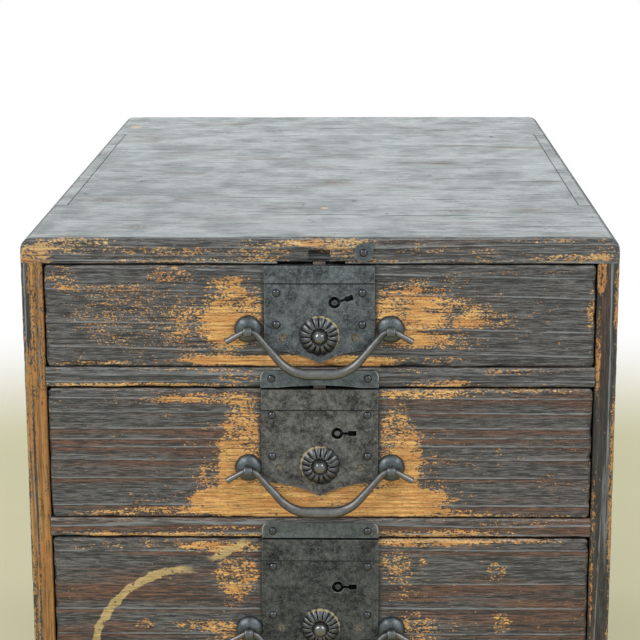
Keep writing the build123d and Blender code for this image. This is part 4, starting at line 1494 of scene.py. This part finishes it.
    def handle(self) -> None:
        """The forged bail."""
        node = f"{self.name}_handle"
        low, high = box_of(f"{self.name}_handle_mounts")
        posts = high.x - self.boss_radius
        pivot_z = (low.z + high.z) / 2
        pivot_y = self.low.y - self.post_reach
        bail = Bail(posts)
        mesh = swept(bail.stations((pivot_y, pivot_z)), 16, 0.035)
        seed = self.look.seed

        def forged(place: Vector) -> Vector:
            """Leaves the hammer's flats on the bar."""
            return place + Vector((
                0.07 * noise.noise(place * 0.30 + Vector((seed, 0, 0))),
                0.12 * noise.noise(place * 0.26 + Vector((0, seed, 0))),
                0.12 * noise.noise(place * 0.26 + Vector((0, 0, seed))),
            ))

        mesh.nudged(forged)
        mesh.layers = rubbed_by(
            lambda at: clamped(1.15 - abs(at.x) / 30.0) * (0.65 if at.y < pivot_y else 0.35)
            + (0.5 if abs(at.x) > posts + 2 else 0.0)
        )
        mesh.piece(f"{node}_forged", self.irons.bail, f"bail_{self.look.number}", (node,), "handle_iron", 60.0)

    def mounts(self) -> None:
        """Two domed washers, and two cotters that hold the bail, their legs clinched inside."""
        node = f"{self.name}_handle_mounts"
        low, high = box_of(node)
        posts = high.x - self.boss_radius
        pivot_z = (low.z + high.z) / 2
        face_y = self.low.y
        mesh = Mesh()
        seed = self.look.seed
        for side in (-1, 1):
            x = side * posts
            mesh.joined(self.washer(seed + side).moved(facing(x, face_y, pivot_z)))
            mesh.joined(self.cotter(x, face_y, pivot_z))
        front = self.plate_low.y
        mesh.layers = rubbed_by(lambda at: clamped((front - at.y) / 5.0 - 0.35) * 0.6)
        mesh.piece(f"{node}_forged", self.irons.mount, self.name, (node,), "handle_iron", 55.0)

    def washer(self, seed: float) -> Mesh:
        """A domed washer, with the unevenness that the hammer left."""
        radius, rise, wall = self.washer_radius, self.boss_height, 0.8
        outer = [(radius * cos(i / 9 * pi / 2), rise * sin(i / 9 * pi / 2) ** 0.92) for i in range(10)]
        inner = [
            ((radius - wall) * cos(i / 5 * pi / 2), (rise - wall) * sin(i / 5 * pi / 2)) for i in range(5, -1, -1)
        ]
        mesh = lathe([*outer, *inner, outer[0]], 36)

        def beaten(place: Vector) -> Vector:
            """Dents the dome and frays its rim."""
            rim = min(1.0, hypot(place.x, place.y) / radius)
            at = place * 0.33 + Vector((seed * 2.3, seed, 0))
            moved = place * (1.0 + 0.035 * noise.noise(at) * rim - 0.012)
            dent = 0.22 * noise.noise(place * 0.40 + Vector((0, seed * 3, 5)))
            moved.z = max(0.0, place.z + dent * (place.z > 0.2))
            return moved

        return mesh.nudged(beaten)

    def cotter(self, x: float, face_y: float, z: float) -> Mesh:
        """An eye bent round the bail, and its legs, turned back behind the front."""
        pivot_y = face_y - self.post_reach
        outer, inner, half = self.eye_radius + self.eye_wall, self.eye_radius, self.eye_width / 2
        section = [
            (outer - 0.25, -half), (outer, -half + 0.3), (outer + 0.02, -0.9), (outer - 0.32, 0.0),
            (outer + 0.02, 0.9), (outer, half - 0.3), (outer - 0.25, half), (inner, half), (inner, -half),
            (outer - 0.25, -half),
        ]
        eye = lathe(section, 28)
        eye.moved(Matrix.Translation((x, pivot_y, z)) @ Matrix.Rotation(radians(90), 4, "Y"))
        back = self.high.y
        thin = self.leg_thickness
        eye.joined(slab((x - half, pivot_y + inner + 0.2, z - thin), (x + half, back, z + thin), 0.25))
        down, up = z - self.prong_length, z + self.prong_length
        eye.joined(slab((x - half, back, down), (x + half, back + thin, up), 0.25))
        return eye


@dataclass
class Bail:
    """The handle's line: an ear, a crest over the post, a leg, a corner and the flat of the grip."""

    spread: float
    drop: float = 21.9
    crest: float = 6.6
    lift: float = 0.2
    corner: float = 20.0
    flat: float = 5.1
    ear: float = 9.0
    ear_angle: float = radians(30)
    neck: float = 1.3
    tip: float = 1.6
    grip: float = 2.9

    def half_line(self) -> list[tuple[float, float, float, float]]:
        """Places x and z, the fall's angle and the radius, from the left ear's tip to the middle."""
        rise = self.corner - self.drop + self.crest - self.lift
        run = self.spread - self.flat
        leg = asin((self.crest + self.corner) / hypot(run, rise)) - atan2(rise, run)
        swell = self.grip - self.neck
        line = []

        def on_crest(angle: float) -> tuple[float, float]:
            """A place on the crest's arc."""
            return -self.spread + self.crest * sin(angle), self.lift - self.crest + self.crest * cos(angle)

        def on_corner(angle: float) -> tuple[float, float]:
            """A place on the corner's arc."""
            return -self.flat - self.corner * sin(angle), self.corner - self.drop - self.corner * cos(angle)

        root = on_crest(-self.ear_angle)
        away = (self.ear * cos(self.ear_angle), self.ear * sin(self.ear_angle))
        for i in range(6):
            t = i / 5
            line.append((root[0] - away[0] * (1 - t), root[1] - away[1] * (1 - t), -self.ear_angle,
                         self.tip + (self.neck + 0.05 - self.tip) * t))
        for i in range(1, 10):
            angle = -self.ear_angle + (leg + self.ear_angle) * i / 9
            line.append((*on_crest(angle), angle, self.neck + 0.15 * swell * max(0.0, i / 9 - 0.4) / 0.6))
        start, end = on_crest(leg), on_corner(leg)
        for i in range(1, 8):
            t = i / 7
            line.append((start[0] + (end[0] - start[0]) * t, start[1] + (end[1] - start[1]) * t, leg,
                         self.neck + swell * (0.15 + 0.35 * t)))
        for i in range(1, 11):
            angle = leg * (1 - i / 10)
            line.append((*on_corner(angle), angle, self.neck + swell * (0.5 + 0.47 * i / 10)))
        for i in range(1, 4):
            line.append((-self.flat * (1 - i / 3), -self.drop, 0.0, self.neck + swell * (0.97 + 0.03 * i / 3)))
        return line

    def stations(self, pivot: tuple[float, float]) -> list[tuple[Matrix, float]]:
        """The sections from one ear's tip to the other.

        Args:
            pivot: the posts' y and z.

        Returns:
            Where each section lies and its radius.
        """
        half = self.half_line()
        whole = [*half, *((-x, z, -angle, radius) for x, z, angle, radius in reversed(half[:-1]))]
        return [
            (
                Matrix.Translation((x, pivot[0], pivot[1] + z)) @ Matrix.Rotation(pi / 2 + angle, 4, "Y"),
                radius,
            )
            for x, z, angle, radius in whole
        ]


def domed_nails(node: str, body: str, material: bpy.types.Material, seed: float) -> None:
    """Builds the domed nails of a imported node, each a little unlike the next.

    Args:
        node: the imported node, whose solids are the nails.
        body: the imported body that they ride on.
        material: their finish.
        seed: a shift for their dents.
    """
    chance = Random(int(seed * 10) + 7)
    mesh = Mesh()
    boxes = islands(node)
    for low, high in boxes:
        radius, centre = (high.x - low.x) / 2 * 1.14, (low + high) / 2
        rise, shank = 1.4, high.y - low.y
        shift = Vector((chance.uniform(0, 9), chance.uniform(0, 9), 0))
        profile = [(0.0, rise - shank), (0.75, rise - shank), (0.75, 0.0), (radius, 0.0)]
        profile += [(radius * cos(i / 7 * pi / 2) ** 0.85, rise * sin(i / 7 * pi / 2)) for i in range(1, 7)]
        profile.append((0.0, rise))
        nail = lathe(profile, 20)

        def beaten(place: Vector, shift: Vector = shift, rise: float = rise) -> Vector:
            """Dents the head."""
            if place.z < 0.05:
                return place
            moved = place * (1.0 + 0.06 * noise.noise(place * 0.7 + shift))
            moved.z = min(place.z, rise) * (1.0 - 0.05 * abs(noise.noise(place + shift)))
            return moved

        nail.nudged(beaten).moved(facing(centre.x, low.y + rise, centre.z))
        mesh.joined(nail)
    mesh.layers = rubbed_by(lambda at: max((low.y + 1.15 - at.y) / 0.8 for low, _ in boxes))
    mesh.piece(f"{node}_domed", material, body, (node,), "nail_iron", 60.0)


def packed_dirt() -> bpy.types.Material:
    """Old dust and polish packed into a hole."""
    paint = Paint("packed_dirt")
    grains = paint.cloud((0.8, 0.8, 0.8), 2.0, 3.0, 0.6)
    colour = paint.mixed(grains.eased(0.35, 0.62), (0.060, 0.056, 0.050), (0.20, 0.175, 0.125))
    return paint.finish(colour, 0.85, grains, 0.15, specular=0.2)


@dataclass
class Irons:
    """The finishes that all the irons share."""

    def __post_init__(self) -> None:
        """Makes the finishes."""
        self.nail = Iron(
            "nail_iron", (0.024, 0.025, 0.027), (0.060, 0.064, 0.068), rust=0.2, dust=0.1, shine=0.15, bright=0.0,
            rubbed=True, dented=(1.2, 0.06), seed=3.0, worn=(0.10, 0.105, 0.11),
        ).make()
        self.rosette = Iron(
            "rosette_iron", (0.030, 0.032, 0.034), (0.085, 0.088, 0.090), rust=0.25, dust=0.12, shine=0.26,
            bright=0.25, rubbed=True, dented=(2.0, 0.05), seed=5.0,
        ).make()
        self.button = Iron(
            "button_iron", (0.050, 0.048, 0.047), (0.105, 0.10, 0.096), rust=0.35, dust=0.1, shine=0.22,
            bright=0.0, rubbed=True, dented=(2.2, 0.12), seed=7.0,
        ).make()
        self.bail = Iron(
            "bail_iron", (0.060, 0.062, 0.064), (0.150, 0.152, 0.153), rust=0.35, dust=0.2, shine=0.34,
            bright=0.0, rubbed=True, dented=(3.0, 0.14), seed=9.0, worn=(0.26, 0.245, 0.235),
        ).make()
        self.mount = Iron(
            "mount_iron", (0.048, 0.056, 0.060), (0.12, 0.135, 0.142), rust=0.2, dust=0.2, shine=0.32,
            bright=0.1, rubbed=True, dented=(2.6, 0.14), seed=11.0,
        ).make()
        self.bolt = Iron(
            "bolt_iron", (0.12, 0.095, 0.075), (0.24, 0.20, 0.17), rust=0.8, dust=0.3, shine=0.5, bright=0.2,
            seed=13.0,
        ).make()
        self.dirt = packed_dirt()
        ears = tuple(
            Scratch(side * 24.6, z, 5.2, 0.5, Spot((side * 29.0, FRONT_Y, z + 2.6), (4.6, 30.0, 4.6), 1.0, 0.3))
            for z in (288.0, 206.8, 114.3)
            for side in (-1, 1)
        )
        self.keeper = Iron(
            "keeper_iron", (0.045, 0.052, 0.056), (0.15, 0.17, 0.182), rust=0.2, dust=0.2, shine=0.36,
            bright=0.6, seed=15.0, scratches=ears,
        ).make()


# ---- The looks of this chest ----
def plate_iron(number: int, dark: RGB, pale: RGB, places: tuple[float, float, float]) -> Iron:
    """A lock plate's finish, with a painted shadow line under its folded strip and the keyhole's worn lower rim.

    Args:
        number: the drawer's number from the top.
        dark: the scale's colour.
        pale: its colour where it is rubbed.
        places: the seam's drop below the drawer's top, with a shadow line painted under it, and the keyhole's
            drop and distance across.

    Returns:
        The finish.
    """
    top = box_of(f"drawer_{number}_front")[1].z
    seam, drop, across = places
    rim = Spot((across + 1.4, FRONT_Y, top - drop - 2.4), (4.2, 30.0, 2.6), 1.0, 0.3)
    return Iron(
        f"drawer_{number}_plate_iron", dark, pale, rust=0.35, dust=0.4, seed=11.0 + number * 10.0,
        scratches=(Scratch(across, top - drop, 3.0, 0.45, rim),),
        # Painted shadow: a thin near-black line just under the folded strip's lower edge.
        painted_shadows=(Spot((0.0, FRONT_Y, top - seam - 0.30), (400.0, 40.0, 0.62), 1.0, 0.7),),
    )


def drawer_looks() -> list[DrawerLook]:
    """The four drawers' looks."""
    first = face_spots(
        (-41, 320, 23, 27, 1.2, 0.6), (-58, 312, 26, 24, 0.75), (-54, 340, 22, 9, 0.5),
        (-75, 341, 16, 7, 0.85), (-100, 318, 52, 26, 0.36), (-110, 334, 34, 3, 0.55),
        (-129, 340, 12, 10, 0.75), (-36, 297, 46, 3.6, 1.2), (-115, 295.5, 28, 2.2, 0.7),
        (-60, 296, 80, 2.0, 0.35), (-52, 342, 18, 3.5, -0.5),
        (42, 320, 26, 24, 1.2, 0.6), (66, 322, 22, 16, 0.75), (60, 306, 32, 7, 0.85),
        (48, 301, 46, 2.2, -0.9, 0.3), (60, 338, 24, 6, 0.45), (84, 318, 22, 8, 0.5),
        (55, 297, 44, 2.4, 0.6), (98, 342, 46, 2.0, 0.55), (100, 318, 52, 26, 0.14),
        (0, 296, 50, 6, 1.6, 0.5), (136, 322, 2.6, 18, 0.8), (38, 343, 30, 3.0, -0.35), (56, 322, 5, 3, -0.8),
        (70, 322, 4, 3, -0.6),
    )
    second = face_spots(
        (-40, 244, 15, 42, 1.1, 0.4), (-50, 232, 22, 30, 0.6), (-42, 222, 30, 10, 1.3, 0.4),
        (-52, 277, 40, 4.5, 1.0), (-60, 262, 18, 4, 0.45), (-58, 253, 20, 3, 0.4),
        (-90, 276, 40, 3, 0.5), (-75, 217, 55, 3, 0.95), (-115, 215.5, 24, 2.2, 0.8),
        (-80, 224, 30, 8, 0.4), (0, 218, 52, 12, 1.7, 0.5), (-78, 268, 4, 6, 0.5),
        (39, 244, 15, 40, 1.0, 0.4), (50, 240, 22, 30, 0.55), (42, 222, 30, 9, 1.3, 0.4),
        (52, 279, 40, 3.5, 1.1), (95, 281, 45, 2.0, 0.7), (64, 216, 34, 3.5, 0.9),
        (105, 214.5, 34, 2, 0.6), (66, 226, 18, 6, 0.5), (92, 240, 50, 30, 0.10),
        (0, 231, 36, 8, 1.5, 0.4),
    )
    third = face_spots(
        (-44, 182, 16, 14, 1.0, 0.4), (-50, 197, 34, 4.5, 1.15), (-86, 198.5, 46, 3, 0.6),
        (-60, 154, 26, 5, 0.85), (-92, 155, 8, 4, 0.7), (-44, 170, 10, 10, 0.5),
        (-118, 197, 20, 3, 0.5), (-46, 140, 24, 20, 0.9), (0, 127, 60, 12, 1.6, 0.5),
        (-80, 123, 60, 3, 0.8), (38, 190, 14, 9, 0.9), (44, 178, 18, 14, 0.55),
        (50, 200, 50, 3.4, 1.1), (100, 200.5, 40, 2.0, 0.7), (91, 184, 8, 9, 0.85),
        (94, 156, 8, 9, 0.8), (53, 189, 4, 4, 0.8), (46, 150, 20, 18, 0.8),
        (90, 122.5, 50, 2.5, 0.7), (62, 155, 24, 6, 0.35),
    )
    fourth = face_spots(
        (-48, 56, 24, 34, 1.05, 0.5), (-60, 104, 60, 4, 0.9), (48, 58, 26, 34, 1.0, 0.5),
        (62, 104, 60, 3.5, 0.9), (0, 22, 70, 12, 1.6, 0.5), (-90, 17, 50, 3.4, 0.8),
        (95, 16, 44, 3, 0.7), (-90, 66, 30, 18, 0.35), (94, 76, 16, 10, 0.5),
        (-120, 92, 16, 6, 0.5),
    )
    scuffs = (
        Scuff(-68.0, 134.0, 51.0, 2.3, Spot((-104.0, 0.0, 172.0), (46.0, 9999.0, 34.0), 1.0, 0.25)),
        Scuff(-78.0, 250.0, 63.0, 2.0, Spot((-46.0, 0.0, 195.0), (16.0, 9999.0, 9.0), 1.0, 0.4)),
    )
    return [
        DrawerLook(
            1, first, 0.22,
            plate_iron(1, (0.020, 0.024, 0.027), (0.175, 0.195, 0.206), (8.9, 19.0, 7.6)),
            button_round=0.1, tilt=3.0, crust_at=35.0, slope=0.023, holes=(18.2, 37.1),
            speckled=face_spots((-92, 319, 36, 24, 0.75, 0.35), (100, 322, 26, 20, 0.25), (76, 325, 22, 20, 0.4)),
            rings=(286.0, 301.0, 313.6, 330.2, 341.5, 354.0),
        ),
        DrawerLook(
            2, second, 0.72,
            plate_iron(2, (0.014, 0.015, 0.016), (0.190, 0.188, 0.182), (10.6, 23.2, 8.9)),
            button_round=0.3, chased=0.4, tilt=-4.0, crust_at=165.0, nicked=0.20, holes=(20.6, 41.4),
            rings=(204.0, 219.8, 234.4, 244.6, 250.7, 254.9, 260.6, 268.8, 276.3, 292.0),
        ),
        DrawerLook(
            3, third, 0.80,
            plate_iron(3, (0.011, 0.012, 0.013), (0.132, 0.139, 0.142), (11.2, 26.0, 9.1)),
            scuffs, button_round=0.9, chased=1.0, nicked=0.14, petals=18,
            rings=(112.0, 126.0, 136.5, 148.9, 163.5, 176.6, 195.0, 209.0),
        ),
        DrawerLook(
            4, fourth, 0.60,
            plate_iron(4, (0.020, 0.022, 0.024), (0.170, 0.176, 0.182), (11.2, 29.0, 9.1)),
            button_round=0.4, tilt=5.0, holes=(20.1, 56.8),
        ),
    ]


# ---- The room ----
@dataclass(frozen=True)
class Studio:
    """A pale floor, soft light from both sides and a white backdrop."""

    floor_radius: float = 1.30
    fade_from: float = 0.66
    fade_to: float = 1.14
    floor: RGB = (0.86, 0.79, 0.535)
    ambient: float = 0.62

    def world(self) -> None:
        """White where the camera looks and where surfaces mirror it, plain soft light elsewhere."""
        world = bpy.data.worlds.new("studio")
        bpy.context.scene.world = world
        world.use_nodes = True
        nodes, links = world.node_tree.nodes, world.node_tree.links
        nodes.clear()
        path = nodes.new("ShaderNodeLightPath")
        seen = nodes.new("ShaderNodeMath")
        seen.operation = "MAXIMUM"
        both = nodes.new("ShaderNodeMath")
        both.operation = "MAXIMUM"
        links.new(path.outputs["Is Camera Ray"], seen.inputs[0])
        links.new(path.outputs["Is Glossy Ray"], seen.inputs[1])
        links.new(seen.outputs[0], both.inputs[0])
        links.new(path.outputs["Is Transmission Ray"], both.inputs[1])
        level = nodes.new("ShaderNodeMapRange")
        level.inputs["To Min"].default_value = self.ambient
        level.inputs["To Max"].default_value = 1.0
        links.new(both.outputs[0], level.inputs["Value"])
        background = nodes.new("ShaderNodeBackground")
        tint = nodes.new("ShaderNodeMix")
        tint.data_type = "RGBA"
        tint.inputs[6].default_value = (0.93, 0.995, 1.0, 1.0)
        tint.inputs[7].default_value = (1.0, 1.0, 1.0, 1.0)
        links.new(path.outputs["Is Camera Ray"], tint.inputs[0])
        links.new(tint.outputs[2], background.inputs["Color"])
        links.new(level.outputs[0], background.inputs["Strength"])
        output = nodes.new("ShaderNodeOutputWorld")
        links.new(background.outputs[0], output.inputs["Surface"])

    def ground(self) -> None:
        """The floor, which fades into the backdrop away from the chest."""
        paint = Paint("floor_pale")
        away = paint.distance((0.0, 0.0, 0.0), (1000.0, 1000.0, 1000.0)).eased(self.fade_from, self.fade_to)
        mottle = paint.cloud((90.0, 90.0, 90.0), 1.0, 3.0)
        tone = paint.mixed(mottle.eased(0.3, 0.7) * 0.25, self.floor, tuple(c * 0.93 for c in self.floor))
        shader = paint.node("ShaderNodeBsdfDiffuse", {}, {"Color": tone})
        clear = paint.node("ShaderNodeBsdfTransparent")
        mix = paint.node("ShaderNodeMixShader", {}, {0: away, 1: shader.outputs[0], 2: clear.outputs[0]})
        paint.node("ShaderNodeOutputMaterial", {}, {"Surface": mix.outputs[0]})
        bm = bmesh.new()
        bmesh.ops.create_circle(bm, cap_ends=True, segments=96, radius=self.floor_radius)
        bmesh.ops.translate(bm, vec=(0, 0, -0.0003), verts=bm.verts)
        data = bpy.data.meshes.new("floor")
        bm.to_mesh(data)
        bm.free()
        data.materials.append(paint.material)
        made = bpy.data.objects.new("floor", data)
        bpy.context.scene.collection.objects.link(made)

    def lamp(self, name: str, at: Triple, aim: Triple, size: float, power: float) -> None:
        """A soft square lamp.

        Args:
            name: its name.
            at: where it stands, in metres.
            aim: what it points at, in metres.
            size: its side in metres.
            power: its power in watts.
        """
        data = bpy.data.lights.new(name, "AREA")
        data.shape, data.size, data.energy = "SQUARE", size, power
        made = bpy.data.objects.new(name, data)
        made.location = at
        made.rotation_euler = (Vector(aim) - Vector(at)).to_track_quat("-Z", "Y").to_euler()
        bpy.context.scene.collection.objects.link(made)

    def camera(self) -> None:
        """The camera at the photograph's place."""
        pitch, yaw, roll = 0.2296, -0.0189, -0.0034
        ahead = Vector((sin(yaw), cos(yaw), 0.0))
        right = Vector((cos(yaw), -sin(yaw), 0.0))
        up = Vector((0.0, 0.0, 1.0))
        look = ahead * cos(pitch) - up * sin(pitch)
        top = ahead * sin(pitch) + up * cos(pitch)
        side = right * cos(roll) + top * sin(roll)
        top = top * cos(roll) - right * sin(roll)
        data = bpy.data.cameras.new("camera")
        data.sensor_width = 36.0
        data.lens = 112.17
        data.clip_start, data.clip_end = 0.05, 50.0
        made = bpy.data.objects.new("camera", data)
        matrix = Matrix((side, top, -look)).transposed().to_4x4()
        matrix.translation = Vector((0.01876, -1.2105, 0.546))
        made.matrix_world = matrix
        bpy.context.scene.collection.objects.link(made)
        bpy.context.scene.camera = made

    def build(self) -> None:
        """Sets the room."""
        self.world()
        self.ground()
        self.lamp("lamp_left", (-1.15, -1.25, 1.35), (0.0, 0.0, 0.2), 0.7, 16.0)
        self.lamp("lamp_right", (1.15, -1.15, 1.35), (0.0, 0.0, 0.2), 0.7, 12.0)
        self.camera()
        view = bpy.context.scene.view_settings
        view.view_transform = "Standard"


def main() -> None:
    """Builds the room, the case and the drawers."""
    logging.basicConfig(level=logging.INFO, format="%(message)s")
    Studio().build()
    LOG.info("room set")
    irons = Irons()
    Case().build()
    for look in drawer_looks():
        Drawer(look, irons).build()
        LOG.info("drawer %d built", look.number)
    dress("keeper_plates", irons.keeper)
    dress("keeper_remnant", irons.keeper)
    domed_nails("keeper_nails", "case", irons.nail, 3.0)
    LOG.info("keepers dressed")


if __name__ == "__main__":
    main()
